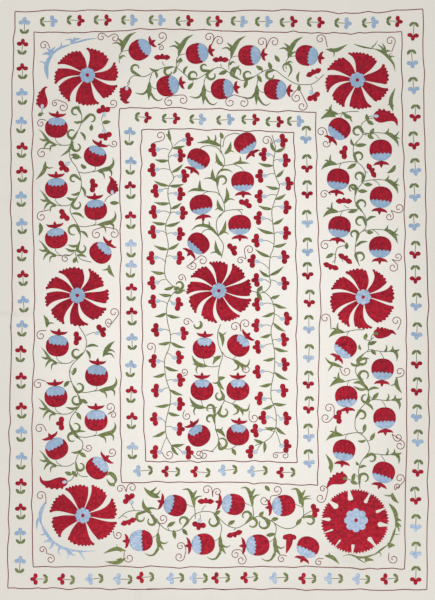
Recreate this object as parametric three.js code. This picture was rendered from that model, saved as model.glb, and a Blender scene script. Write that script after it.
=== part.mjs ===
// A suzani: a large embroidered cotton cloth, laid out flat with its face up.
// The cloth is one sheet with a narrow turned hem on all four sides. It lies on
// z = 0, +Y is the top of the pattern, and the creases and ripples that it was
// spread with lift it a few millimetres. All sizes are in millimetres.

import * as THREE from 'three';
import { mergeVertices } from 'three/addons/utils/BufferGeometryUtils.js';

// Driving sizes
const HALF_WIDTH = 759; // widest place, at the bottom of the left side
const HALF_LENGTH = 1027.5; // longest place, along the right side
const SHEET_THICKNESS = 1.8; // cotton ground with its stitching
const HEM_WIDTH = 11; // turned edge
const HEM_THICKNESS = 2.6; // where the turned edge lies double
const HEM_STEP = 1.5; // width of the step from the hem down to the sheet

// Each side of the outline bows a little: its distance from the middle of the
// cloth at the start, the two thirds and the end of that side.
const SIDES = {
  left: { start: 759, firstThird: 754, secondThird: 751, end: 743 }, // bottom to top
  right: { start: 756, firstThird: 759, secondThird: 756, end: 746 }, // bottom to top
  bottom: { start: 1021, firstThird: 1024, secondThird: 1023, end: 1027.5 }, // left to right
  top: { start: 1023, firstThird: 1021, secondThird: 1020, end: 1027.5 }, // left to right
};

// Grid of the sheet: it is denser towards the sides, where the creases are sharper
const COLUMNS = 44;
const ROWS = 56;
const EDGE_DENSITY = 0.45;

// Folds of the cloth. Each one runs from one point to another and bows sideways
// (positive to its left), rises to its height, falls off over the width on its left
// and its right, and fades in and out over a share of its length.
const FOLD_COLUMNS = ['name', 'from', 'to', 'bow', 'left', 'right', 'height', 'fadeIn', 'fadeOut'];
const FOLD_ROWS = [
  ['left_crease', [-762, -54], [-570, -50], -7, 22, 36, 7, 0, 0.6],
  ['left_upper_crease', [-762, 322], [-598, 268], 16, 30, 20, 5, 0, 0.6],
  ['left_wrinkle_high', [-758, 508], [-640, 468], 8, 20, 18, 3.5, 0, 0.7],
  ['left_wrinkle_low', [-758, 436], [-652, 452], -6, 18, 20, 3, 0, 0.7],
  ['left_low_ripple', [-762, -560], [-668, -548], 5, 26, 30, 3.5, 0, 0.8],
  ['right_edge_run', [698, 352], [707, -620], 9, 20, 26, 5, 0.3, 0.3],
  ['right_long_swell', [352, 20], [396, -620], 24, 42, 60, 4.5, 0.4, 0.4],
  ['right_short_arc', [330, 96], [342, -112], -26, 34, 34, 3, 0.5, 0.5],
  ['corner_curve', [376, -822], [566, -918], -28, 24, 34, 5, 0.4, 0.4],
  ['top_crease', [-172, 912], [-110, 724], 10, 28, 34, 4, 0.4, 0.5],
  ['top_left_crease', [-366, 842], [-286, 684], -10, 24, 32, 4, 0.4, 0.5],
  ['bottom_ripple_a', [-246, -1030], [-250, -926], 4, 24, 30, 6, 0, 0.9],
  ['bottom_ripple_b', [-140, -1030], [-150, -940], -4, 28, 24, 5, 0, 0.9],
  ['bottom_ripple_c', [-6, -1030], [-12, -916], 5, 26, 32, 7, 0, 0.9],
  ['bottom_ripple_d', [100, -1030], [92, -938], -3, 24, 26, 5, 0, 0.9],
  ['bottom_ripple_e', [310, -1030], [300, -924], 6, 28, 34, 6, 0, 0.9],
  ['top_ripple_a', [-470, 1030], [-462, 956], 3, 26, 30, 3.5, 0, 0.9],
  ['top_ripple_b', [-58, 1030], [-66, 950], -4, 28, 26, 4, 0, 0.9],
  ['top_ripple_c', [152, 1030], [158, 958], 4, 26, 26, 3.5, 0, 0.9],
  ['top_ripple_d', [424, 1030], [416, 948], 5, 30, 26, 4.5, 0, 0.9],
];
const FOLDS = FOLD_ROWS.map((row) => Object.fromEntries(row.map((value, i) => [FOLD_COLUMNS[i], value])));
const FOLD_STEPS = 16; // straight pieces that a fold's line is followed in

// Colours
const COTTON = 0xe4e0d4;

// The line that each fold runs on, as a chain of points
const foldLines = FOLDS.map((fold) => {
  const start = new THREE.Vector2(...fold.from);
  const end = new THREE.Vector2(...fold.to);
  const along = end.clone().sub(start).normalize();
  const toLeft = new THREE.Vector2(-along.y, along.x);
  const middle = start.clone().lerp(end, 0.5).addScaledVector(toLeft, 2 * fold.bow);
  return new THREE.QuadraticBezierCurve(start, middle, end).getPoints(FOLD_STEPS);
});

// How far a point is along a fold's line (0 to 1) and to its left, in millimetres
function measureAgainst(line, point) {
  let nearest = { distance: Infinity, along: 0, side: 0 };
  for (let i = 0; i < line.length - 1; i++) {
    const step = line[i + 1].clone().sub(line[i]);
    const offset = point.clone().sub(line[i]);
    const share = THREE.MathUtils.clamp(offset.dot(step) / step.lengthSq(), 0, 1);
    const gap = offset.addScaledVector(step, -share);
    const distance = gap.length();
    if (distance < nearest.distance) {
      const side = Math.sign(step.cross(gap)) * distance;
      nearest = { distance, along: (i + share) / (line.length - 1), side };
    }
  }
  return nearest;
}

// Height of the cloth's underside above the surface it lies on
function liftAt(x, y) {
  const point = new THREE.Vector2(x, y);
  return FOLDS.reduce((sum, fold, index) => {
    const { along, side } = measureAgainst(foldLines[index], point);
    const across = Math.abs(side) / (side > 0 ? fold.left : fold.right);
    if (across >= 1) return sum;
    const rise = fold.fadeIn > 0 ? THREE.MathUtils.smoothstep(along, 0, fold.fadeIn) : 1;
    const fall = fold.fadeOut > 0 ? 1 - THREE.MathUtils.smoothstep(along, 1 - fold.fadeOut, 1) : 1;
    return sum + fold.height * (1 - across ** 2) ** 2 * rise * fall;
  }, 0);
}

// Distance of a side from the middle of the cloth, at a share of its length
function sideAt(side, share) {
  const stations = [side.start, side.firstThird, side.secondThird, side.end];
  const curve = new THREE.SplineCurve(stations.map((value, i) => new THREE.Vector2(i / 3, value)));
  return curve.getPoint(share).y;
}

// Shares of the cloth's size at which its grid lines lie: the edge, the two sides of
// the hem's step, and the rest closer together near the edge than in the middle
function gridShares(count, length) {
  const inside = (HEM_WIDTH + HEM_STEP) / length;
  const shares = [0, HEM_WIDTH / length];
  for (let i = 0; i <= count - 4; i++) {
    const even = i / (count - 4);
    const dense = even - (EDGE_DENSITY * Math.sin(2 * Math.PI * even)) / (2 * Math.PI);
    shares.push(inside + (1 - 2 * inside) * dense);
  }
  shares.push(1 - HEM_WIDTH / length, 1);
  return shares;
}

function clothGeometry() {
  const across = gridShares(COLUMNS, 2 * HALF_WIDTH);
  const up = gridShares(ROWS, 2 * HALF_LENGTH);
  const block = new THREE.BoxGeometry(1, 1, 1, COLUMNS, ROWS, 1);
  block.deleteAttribute('normal');
  block.deleteAttribute('uv');
  const sheet = mergeVertices(block);
  const place = sheet.attributes.position;
  for (let i = 0; i < place.count; i++) {
    const column = Math.round((place.getX(i) + 0.5) * COLUMNS);
    const row = Math.round((place.getY(i) + 0.5) * ROWS);
    const isFace = place.getZ(i) > 0;
    const u = across[column];
    const v = up[row];
    const x = THREE.MathUtils.lerp(-sideAt(SIDES.left, v), sideAt(SIDES.right, v), u);
    const y = THREE.MathUtils.lerp(-sideAt(SIDES.bottom, u), sideAt(SIDES.top, u), v);
    const inHem = Math.min(column, COLUMNS - column) < 2 || Math.min(row, ROWS - row) < 2;
    const thickness = inHem ? HEM_THICKNESS : SHEET_THICKNESS;
    place.setXYZ(i, x, y, liftAt(x, y) + (isFace ? thickness : 0));
  }
  sheet.computeVertexNormals();
  return sheet;
}

function embroideredCloth() {
  const cotton = new THREE.MeshStandardMaterial({ color: COTTON, roughness: 0.92, metalness: 0 });
  const cloth = new THREE.Mesh(clothGeometry(), cotton);
  cloth.name = 'suzani_cloth';
  return cloth;
}

const group = new THREE.Group();
group.add(embroideredCloth());

export default group;
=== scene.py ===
"""A suzani laid out flat: a white cotton cloth embroidered with rosettes and pomegranates.

The pattern is charted on squares of 3.33 mm, as a pattern drawer would chart it: x runs to the
right and y runs down from the top left corner of the part of the cloth that the camera sees.
Every motif is a few shapes filled with rows of stitches, and each row is a ridge of its own.
"""

import math

import bpy
import numpy as np
from bpy.props import FloatProperty, FloatVectorProperty, IntProperty, PointerProperty
from bpy.types import Operator, Panel, PropertyGroup
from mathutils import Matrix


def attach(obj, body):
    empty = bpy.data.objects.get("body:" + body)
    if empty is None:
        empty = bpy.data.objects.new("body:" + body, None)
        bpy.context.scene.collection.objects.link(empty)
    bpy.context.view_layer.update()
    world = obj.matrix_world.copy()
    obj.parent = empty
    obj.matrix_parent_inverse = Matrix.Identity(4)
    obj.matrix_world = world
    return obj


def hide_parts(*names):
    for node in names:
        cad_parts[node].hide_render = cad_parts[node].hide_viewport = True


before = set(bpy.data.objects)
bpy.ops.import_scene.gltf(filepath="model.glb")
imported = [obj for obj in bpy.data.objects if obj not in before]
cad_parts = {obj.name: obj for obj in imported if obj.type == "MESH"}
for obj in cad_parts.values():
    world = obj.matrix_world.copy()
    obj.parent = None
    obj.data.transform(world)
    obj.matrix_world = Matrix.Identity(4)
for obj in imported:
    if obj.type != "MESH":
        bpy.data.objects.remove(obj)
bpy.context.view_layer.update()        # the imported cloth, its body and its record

bl_info = {
    "name": "Suzani",
    "version": (1, 0, 0),
    "blender": (4, 5, 0),
    "location": "View3D > Sidebar > Suzani",
    "description": "Embroiders a suzani, piece by piece",
    "category": "Object",
}

CLOTH_NODE = "suzani_cloth"
BODY = "root"

# The chart
SQUARE = 0.01 / 3  # metres of cloth to a square
CHART_WIDE = 435
CHART_HIGH = 600

# The outline of the cloth: how far each side is from the middle at its start, its two thirds
# and its end, in millimetres, from the bottom up or from the left to the right.
MM = 0.001
SIDES = {
    "left": (759, 754, 751, 743),
    "right": (756, 759, 756, 746),
    "bottom": (1021, 1024, 1023, 1027.5),
    "top": (1023, 1021, 1020, 1027.5),
}

# The creases that the cloth was spread with, in millimetres from its middle. A crease bows to
# its left, rises to its height, falls off over its left and right widths, and fades in and out
# over a share of its length.
FOLD_COLUMNS = ("start", "end", "bow", "left", "right", "height", "fade_in", "fade_out")
FOLDS = {
    "left_crease": ((-762, -54), (-570, -50), -7, 22, 36, 7, 0, 0.6),
    "left_upper_crease": ((-762, 322), (-598, 268), 16, 30, 20, 5, 0, 0.6),
    "left_wrinkle_high": ((-758, 508), (-640, 468), 8, 20, 18, 3.5, 0, 0.7),
    "left_wrinkle_low": ((-758, 436), (-652, 452), -6, 18, 20, 3, 0, 0.7),
    "left_low_ripple": ((-762, -560), (-668, -548), 5, 26, 30, 3.5, 0, 0.8),
    "right_edge_run": ((698, 352), (707, -620), 9, 20, 26, 5, 0.3, 0.3),
    "right_long_swell": ((352, 20), (396, -620), 24, 42, 60, 4.5, 0.4, 0.4),
    "right_short_arc": ((330, 96), (342, -112), -26, 34, 34, 3, 0.5, 0.5),
    "corner_curve": ((376, -822), (566, -918), -28, 24, 34, 5, 0.4, 0.4),
    "top_crease": ((-172, 912), (-110, 724), 10, 28, 34, 4, 0.4, 0.5),
    "top_left_crease": ((-366, 842), (-286, 684), -10, 24, 32, 4, 0.4, 0.5),
    "bottom_ripple_a": ((-246, -1030), (-250, -926), 4, 24, 30, 6, 0, 0.9),
    "bottom_ripple_b": ((-140, -1030), (-150, -940), -4, 28, 24, 5, 0, 0.9),
    "bottom_ripple_c": ((-6, -1030), (-12, -916), 5, 26, 32, 7, 0, 0.9),
    "bottom_ripple_d": ((100, -1030), (92, -938), -3, 24, 26, 5, 0, 0.9),
    "bottom_ripple_e": ((310, -1030), (300, -924), 6, 28, 34, 6, 0, 0.9),
    "top_ripple_a": ((-470, 1030), (-462, 956), 3, 26, 30, 3.5, 0, 0.9),
    "top_ripple_b": ((-58, 1030), (-66, 950), -4, 28, 26, 4, 0, 0.9),
    "top_ripple_c": ((152, 1030), (158, 958), 4, 26, 26, 3.5, 0, 0.9),
    "top_ripple_d": ((424, 1030), (416, 948), 5, 30, 26, 4.5, 0, 0.9),
}
FOLD_STEPS = 16  # straight pieces that a crease's line is followed in
LIFT_STEP = 0.004  # metres between two places of the table of the cloth's height
LIFT_HALF = (0.78, 1.05)  # half the width and the length that the table covers, in metres

# The ruled lines: each side's places up to the corner where it ends. A side starts where the
# one before it ended.
RULES = {
    "outer": (
        ((100, 10.2), (219, 11), (300, 10.4), (352, 13.2), (422.8, 9)),
        ((424.6, 140), (427.4, 290), (428.4, 420), (426.8, 589.5)),
        ((338, 589.8), (250, 588.6), (145, 588.8), (60, 588.4), (7.8, 588)),
        ((9.6, 480), (9.8, 400), (12.6, 285), (11, 200), (12.4, 90), (15, 11.5)),
    ),
    "inner": (
        ((75, 32.6), (162, 29.2), (240, 31.4), (300, 32.4), (345, 33.4), (401.7, 31.6)),
        ((403, 140), (405.7, 290), (406.6, 420), (404.4, 569)),
        ((370, 568.4), (283, 566.6), (200, 567.4), (120, 566.4), (33.3, 567)),
        ((32.2, 470), (32.6, 400), (34.2, 300), (32.6, 190), (34, 32)),
    ),
    "field_outer": (
        ((163, 108), (240, 110), (316, 112.4)),
        ((316.8, 200), (320, 285), (318.4, 400), (317.7, 485.4)),
        ((260, 483), (210, 482.2), (121.7, 482.6)),
        ((120.4, 400), (120.2, 300), (120.8, 230), (119.6, 108.6)),
    ),
    "field": (
        ((176, 129), (240, 130.6), (294, 132.5)),
        ((295.2, 200), (296.8, 290), (296.8, 380), (297.4, 462.5)),
        ((240, 461), (185, 461.6), (145.6, 461.3)),
        ((142.6, 380), (142.2, 290), (140.8, 200), (141.6, 130)),
    ),
}
RULE_WOBBLE = 0.9  # squares that a hand-ruled line strays
RULE_WAVES = (13.0, 22.0, 39.0)  # squares from one stray to the next
RULE_HOLD = 14  # squares from a corner within which a line strays less
RULE_STEP = 0.01  # metres

# The small sprigs between the ruled lines. Each run gives the places that it passes, as
# distance along and distance across, the way its flowers point, how far their stems reach,
# where they stand along the run, and their colours.
SPRIG_COLUMNS = ("axis", "line", "way", "stem", "stations", "colours")
SPRIG_THREADS = {"R": "red", "B": "blue"}
SPRIG_SWAY = 5  # degrees that a sprig leans this way or that
STEM_SWAY = 0.8  # squares that its stem is longer or shorter
SPRIG_RUNS = (
    ("x", ((53, 21.2), (107, 20.2), (161, 20.2), (243, 21.8), (293, 21.6), (347, 23.4), (398, 21.6)),
     0, 12, (53, 80, 107, 133, 161, 189, 218, 243, 268, 293, 320, 347, 374, 398), "BRRBBRRBBRRBBR"),
    ("y", ((22, 24.6), (43, 22.7), (121, 21.4), (147, 22.2), (196, 21.2), (300, 23.4), (350, 21),
           (457, 21.6), (532, 20.3)),
     90, 11.2, (22, 43.5, 68, 93, 121.5, 147, 171, 196, 223, 250.5, 275, 300.6, 325, 350, 377, 407, 431,
                457, 483, 508, 532.5, 560.6), "BRRBBRRBBRRBBRRRBBRRBB"),
    ("y", ((36, 413), (63, 412.4), (117, 415), (145, 414), (171, 415.6), (226, 414.2), (335, 416.6),
           (417, 416.4), (442, 417.7), (472, 417.7), (500, 415.6)),
     -90, 12.8, (36, 63.6, 89.5, 117, 145, 171, 197, 226, 254, 279, 306, 335, 364, 391, 417, 442, 472,
                 500, 527, 554, 580), "RBBRRBBBRRBBRRBBRRBBR"),
    ("x", ((35, 579), (118, 579), (141, 577.4), (171, 578.4), (245, 577.6), (303, 578.4), (385, 579)),
     180, 13.2, (35, 62, 90, 118, 141, 171, 194, 216, 245, 274, 303, 329, 357, 385), "RRBBRBBRRBRBBR"),
    ("x", ((147, 117.6), (203, 119.4), (255, 119.6), (280, 122), (300, 121.2)),
     0, 12.4, (147, 175.6, 201.6, 229.8, 255, 279.2, 299.4), "RRBBRRB"),
    ("y", ((132, 129.9), (161, 131), (186, 130.2), (244, 131), (338, 132), (365, 131), (447, 132.6)),
     90, 12.2, (132, 161.5, 186, 216, 244, 265, 288, 312, 338, 365, 390.5, 417, 447), "BBRRBBRRBBRRB"),
    ("y", ((139, 305.8), (168, 307), (275, 307.7), (302, 309.2), (384, 308.3), (463, 309.2)),
     -90, 13.2, (139, 168, 194, 223, 251.5, 275, 302.5, 329, 358, 384, 409, 437, 463), "BRRBBRRBBRRBB"),
    ("x", ((138, 471), (195, 471.6), (224, 470.4), (281, 472.4)),
     180, 14.4, (138, 166, 195, 222.8, 252, 281), "BRRBBR"),
)

# The big rosettes: the middle, how far it reaches to the side and up, where its eye is, and the
# gaps between its petals. Each gap gives its direction at the eye and at the rim, and how many
# degrees of the rim it takes.
ROSETTES = {
    "top_left": ((86.5, 77), (32.3, 28.8), (87.4, 75.2), (
        (22, 34, 11), (90, 94, 13), (152, 156, 8), (184, 197, 5), (234, 242, 10), (298, 297, 14),
        (343, 346, 9))),
    "top_right": ((357.2, 80.9), (32.4, 28.7), (357.3, 80.1), (
        (38, 40, 13), (103, 110, 12), (159, 161, 10), (190, 207, 9), (250, 249, 9), (302, 300, 13),
        (353, 347, 9))),
    "middle_left": ((76.9, 296.6), (32.2, 30), (77.4, 295.4), (
        (23, 17, 10), (61, 72, 10), (123, 128, 9), (162, 168, 6), (199, 203, 9), (244, 250, 11),
        (280, 295, 12), (341, 340, 9))),
    "centre": ((219.4, 292), (32.8, 31), (218.8, 290.8), (
        (30, 27, 6), (66, 69, 7), (107, 111, 7), (148, 154, 7), (182, 186, 4), (215, 227, 9),
        (255, 269, 7), (306, 311, 4), (346, 349, 4))),
    "middle_right": ((362.2, 298.6), (32.6, 30.7), (363.2, 297.1), (
        (27, 29, 9), (64, 75, 12), (121, 124, 7), (160, 165, 5), (206, 210, 6), (237, 250, 8),
        (277, 292, 13), (354, 347, 6))),
    "bottom_left": ((83.7, 515), (33.9, 31), (82.9, 515.4), (
        (24, 36, 9), (77, 78, 5), (127, 126, 9), (178, 178, 11), (229, 230, 15), (293, 292, 11),
        (350, 349, 5))),
}

# The wheel in the bottom right corner: its middle, how far it reaches and where its eye is.
# Then its slots, each with its direction, how far from the middle it begins, and its width.
WHEEL = ((354.9, 521.3), (33.2, 31.6), (356, 520.2))
WHEEL_SLOTS = (
    (-7.3, 22.4, 5.0), (24.6, 22.5, 3.0), (62.6, 21.0, 3.6), (100.6, 21.5, 5.2), (140.5, 21.8, 5.6),
    (175.5, 24.0, 3.6), (201.3, 23.2, 1.8), (233.2, 23.5, 1.8), (265.6, 23.4, 3.2), (308.5, 21.0, 4.6),
)

# The pomegranates: the way their caps point, how far they reach across and along that way, where
# the edge of the cap lies, how far it bends at the sides and how suddenly, how far the horns of
# the crown reach, and the leaves of their twigs. Then each one's middle, how far its cap leans
# from that way, and the side of its vine it hangs on, or 0 where it has no twig.
POMEGRANATES = {
    "top": (0, (10.4, 11.6), (1.2, 3.6, 2.6), 6.4, {1: "top_out", -1: "top_in"}, (
        (139.7, 49.9, 32, 1), (167.6, 86, 12, -1), (196.9, 53.6, 12, 1), (222, 89, 6, -1),
        (249.3, 55.5, 3, 1), (275, 89.4, -5, -1), (306.5, 55.5, -9, 1))),
    "left_high": (90, (11.5, 10.4), (2.4, 30, 7), 8.8, {1: "left_out", -1: "left_in"}, (
        (56.4, 127.9, -4, 1), (95.2, 156.3, -21, -1), (56.4, 188.4, 1, 1), (95.7, 210, 4, -1),
        (56.4, 238.5, 6, 1), (100.4, 252.9, -41, 0))),
    "left_low": (90, (11.6, 10.8), (1.0, 14, 7), 8.8, {1: "left_out", -1: "left_in"}, (
        (57.4, 346, -6, 1), (96.6, 375.7, -4, -1), (56, 396.7, 4, 1), (96.1, 420.6, 1, -1),
        (56.8, 448.7, 28, 1), (97, 468.2, -43, 0))),
    "right_high": (-90, (11.4, 10.9), (3.0, 1.2, 2.6), 8.0, {1: "right_out", -1: "right_in"}, (
        (339.5, 128.7, -37, -1), (380.7, 150, 2, 1), (338.2, 178.9, -7, -1), (381, 196.9, -6, 1),
        (339.5, 226.6, -8, -1), (380.2, 246.7, -2, 1))),
    "right_low": (-90, (11.4, 10.9), (3.0, 1.2, 2.6), 8.0, {1: "right_out_low", -1: "right_in"}, (
        (345.7, 347, -38, -1), (382.6, 369, -3, 1), (346.2, 396.2, 4, -1), (384.5, 417.8, 3, 1),
        (344.1, 449.8, -8, -1), (383.7, 472.2, -18, 1))),
    "bottom": (180, (10.7, 11.9), (2.0, 3.4, 2.6), 8.6, {1: "bottom_in", -1: "bottom_out"}, (
        (175.4, 505.5, -15, -1), (233.6, 504.4, -9, -1), (203.4, 544, 6, 1), (283.9, 505.5, 7, -1),
        (258, 545, 3, 1))),
    "bottom_start": (180, (10.7, 11.9), (-1.0, -1.0, 2.6), 7.4, {1: "bottom_in"}, (
        (141.2, 540.5, 2, 1),)),
    "field_high": (-90, (11.6, 10.2), (3.8, 1.4, 2.6), 8.4, {1: "field_right", -1: "field_left"}, (
        (245, 143, 34, 0), (198.6, 158.7, -28, 0), (242.6, 181, 2, 1), (201, 204.4, 9, -1),
        (239.6, 224.6, 1, 0), (198.6, 243.3, -42, 0))),
    "field_low": (90, (11.6, 10.8), (2.6, 180, 8), 8.4, {1: "field_low_left", -1: "field_low_right"}, (
        (204.2, 348.4, -3, 1), (238.3, 345.6, -43, -1), (202, 390, 0, 1), (237.9, 390, 0, -1),
        (199.1, 435.8, 30, 0), (237.8, 435, -5, 0))),
    "corner": (-90, (11.4, 10.6), (2.0, 1.2, 2.6), 8.0, {}, ((308, 546.9, -25, 0),)),
}
CAP_TEETH = 6
CAP_TOOTH = 1.7  # squares from the foot of a tooth to its point

# The twigs of the pomegranates, in squares from the fruit's middle: outwards from the vine,
# and towards the cap. Each has its line, the stalk that the fruit hangs on, and its leaves
# with their widths.
LEAF_FORMS = {
    "left_out": (
        ((-17.3, -13.8), (-12.3, -17), (-5.1, -17.4), (2.2, -16.1), (6.8, -13.3)),
        ((-5.1, -17.2), (-0.4, -14), (1.2, -9.8)),
        ((3.6, ((-1, -17.2), (6.8, -13.6), (10.8, -8.8), (13.8, -4.6), (17.4, -1.2))),
         (3.8, ((8.6, -11.6), (12.6, -12.4), (16.8, -10.8))),
         (3.4, ((7.4, -14), (10.4, -17), (12.7, -21.6))),
         (3.0, ((0.4, -17), (5.4, -18.6), (6.3, -24.2))))),
    "left_in": (
        ((-17.1, -15.9), (-10.7, -16.8), (-3.4, -15.5), (2.9, -14.6), (9.3, -13.2)),
        ((-3.4, -15.5), (0, -13.6), (0, -9.8)),
        ((5.4, ((1, -14.8), (9.3, -13.4), (15.6, -11.4), (19, -6.4), (17.9, -0.8))),
         (3.2, ((4, -14.6), (8.6, -17.6), (9.8, -23))),
         (3.4, ((13, -12.4), (16.8, -15.6), (16.8, -20.6))))),
    "top_out": (
        ((-14.1, -20.3), (-7.3, -20.5), (-3.2, -18.7), (0.4, -16.9), (5, -16)),
        ((-2.3, -18.3), (-0.9, -14.6), (-0.5, -11)),
        ((5.8, ((-3, -18.6), (5, -16.4), (10, -13.9), (15, -10.1), (18.8, -3.4))),
         (4.0, ((6, -16.6), (9.3, -18.8), (12.4, -22.6))),
         (3.2, ((3.6, -16.6), (7.4, -22.4), (6.2, -27.8))),
         (3.2, ((-9, -20.2), (-6.2, -16.6), (-7.6, -13.8))))),
    "top_in": (
        ((-12.7, -15.6), (-8.2, -17.5), (-1.8, -18.1), (4.5, -18.4)),
        ((-2, -18), (2, -14.6), (3.2, -10.6)),
        ((5.6, ((-5, -18), (5.5, -18.4), (15.6, -18.8))),
         (3.2, ((3, -19), (7.6, -22.8), (8.6, -27), (7.2, -32.6))),
         (3.0, ((7, -17.4), (13.4, -13), (15.4, -8.4), (12.8, -4.4))))),
    "right_in": (
        ((-18.3, -17.1), (-10.5, -17.1), (-2.4, -15.7), (3.1, -14.3), (8.5, -15.2)),
        ((-3.3, -15.6), (-1.6, -13), (-1, -9.8)),
        ((5.8, ((1, -14.6), (8.5, -15.6), (14, -12.7), (17.4, -9.2))),
         (3.2, ((7, -16), (8.4, -19.4), (7.6, -24.8))),
         (3.4, ((9, -15.4), (11.4, -18.4), (14.2, -18.2))))),
    "right_out": (
        ((-18, -15.5), (-8.8, -17.1), (0.3, -17.1), (7.5, -16)),
        ((-8, -16.8), (-4, -14.6), (-1.2, -11)),
        ((5.2, ((3, -16.9), (8, -16), (13, -12.6), (16.4, -7.9), (17.7, -2.8))),
         (2.8, ((5.4, -16.6), (7.2, -19), (8.2, -22))),
         (2.6, ((12.6, -13), (16, -15.4), (18.4, -19.2))),
         (3.4, ((12.6, -11.8), (15.6, -12.4), (19, -11.2))))),
    "right_out_low": (
        ((-15.8, -17.2), (-8.2, -18.3), (2.6, -17.2), (10.3, -18.5), (15, -17.2)),
        ((-2.8, -17.2), (-0.4, -13.8), (1.4, -10.3)),
        ((4.2, ((6, -17.6), (11.8, -18), (15, -13.4), (14.5, -7.7))),
         (3.0, ((2.6, -17.2), (4.2, -21), (3.4, -24.6))),
         (3.0, ((9.5, -18), (10.6, -21), (10, -23.4))),
         (3.0, ((13.4, -18), (16.5, -18.8), (16.8, -20.3))))),
    "bottom_out": (
        ((-13.6, -20), (-5.6, -19.6), (0, -18.7), (6.2, -17.8)),
        ((-1.5, -18.2), (-0.1, -14.6), (1.6, -10.8)),
        ((5.0, ((-3, -19.2), (6.2, -17.8), (11.7, -16), (16.4, -12.4), (15.8, -6.4))),
         (3.0, ((5, -18.6), (8.6, -21.9), (9.6, -27))),
         (4.0, ((9.4, -17.2), (12.4, -19.4), (15.8, -21.6))))),
    "bottom_in": (
        ((-22, -15.6), (-17.5, -18.1), (-12.9, -17.9), (-6.5, -16.5), (-1.1, -17)),
        ((-7, -16.4), (-4.4, -14), (-2.8, -10.6)),
        ((5.0, ((-9, -16.8), (-1.1, -17), (5.3, -17.4), (11.4, -15.4))),
         (3.2, ((8, -17), (14, -12.8), (15, -8), (12.6, -3.2))),
         (2.8, ((1, -18), (3, -23), (1.2, -27.2))),
         (4.0, ((3.6, -18), (7, -20.4), (10, -22.6))))),
    "field_right": (
        ((-19.3, -15.2), (-9.3, -16.8), (-3.4, -18.6), (5.7, -18)),
        ((-9, -16.6), (-2, -13.6), (1.6, -9.8)),
        ((3.8, ((-11, -16.6), (-3.4, -18.4), (7.4, -17.6))),
         (3.4, ((-4.6, -17.8), (-2.4, -20.4), (-2.6, -25))))),
    "field_left": (
        ((-19.3, -8.6), (-16.6, -11.8), (-10.2, -12.7), (-3.9, -13.6), (2.5, -14.5)),
        ((-8, -12.8), (-4, -11.8), (-1.5, -9.4)),
        ((4.0, ((-5, -13.4), (2.5, -14.7), (8.9, -14.5), (14.4, -11.8))),
         (4.4, ((1, -14), (1.4, -18), (1.1, -24.4))))),
    "field_low_left": (
        ((-14.5, -17.3), (-9.1, -18.4), (-1.8, -17.8), (3.7, -17.3)),
        ((-0.9, -17), (-0.2, -14), (0.9, -10)),
        ((5.4, ((-4, -17.8), (4.8, -16.4), (9.4, -12), (12, -6.8))),
         (2.6, ((5.6, -16), (7.8, -21.4), (6.2, -26))),
         (2.8, ((4.4, -15.6), (7.8, -16.4), (11.4, -15.2))))),
    "field_low_right": (
        ((-16.4, -6.3), (-12.9, -10.8), (-6.7, -13.4), (-0.2, -17.6)),
        ((-6, -13.6), (-3.6, -12), (-2.2, -9.6)),
        ((5.0, ((-5, -13.8), (0.4, -17.8), (6.4, -20.4))),
         (3.2, ((4, -20), (9.4, -19.9), (11.7, -13.2))),
         (3.2, ((0, -17.6), (-0.4, -22.6), (-5.2, -25))),
         (4.2, ((2, -18), (4.2, -21.6), (5, -25.8))))),
}

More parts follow.
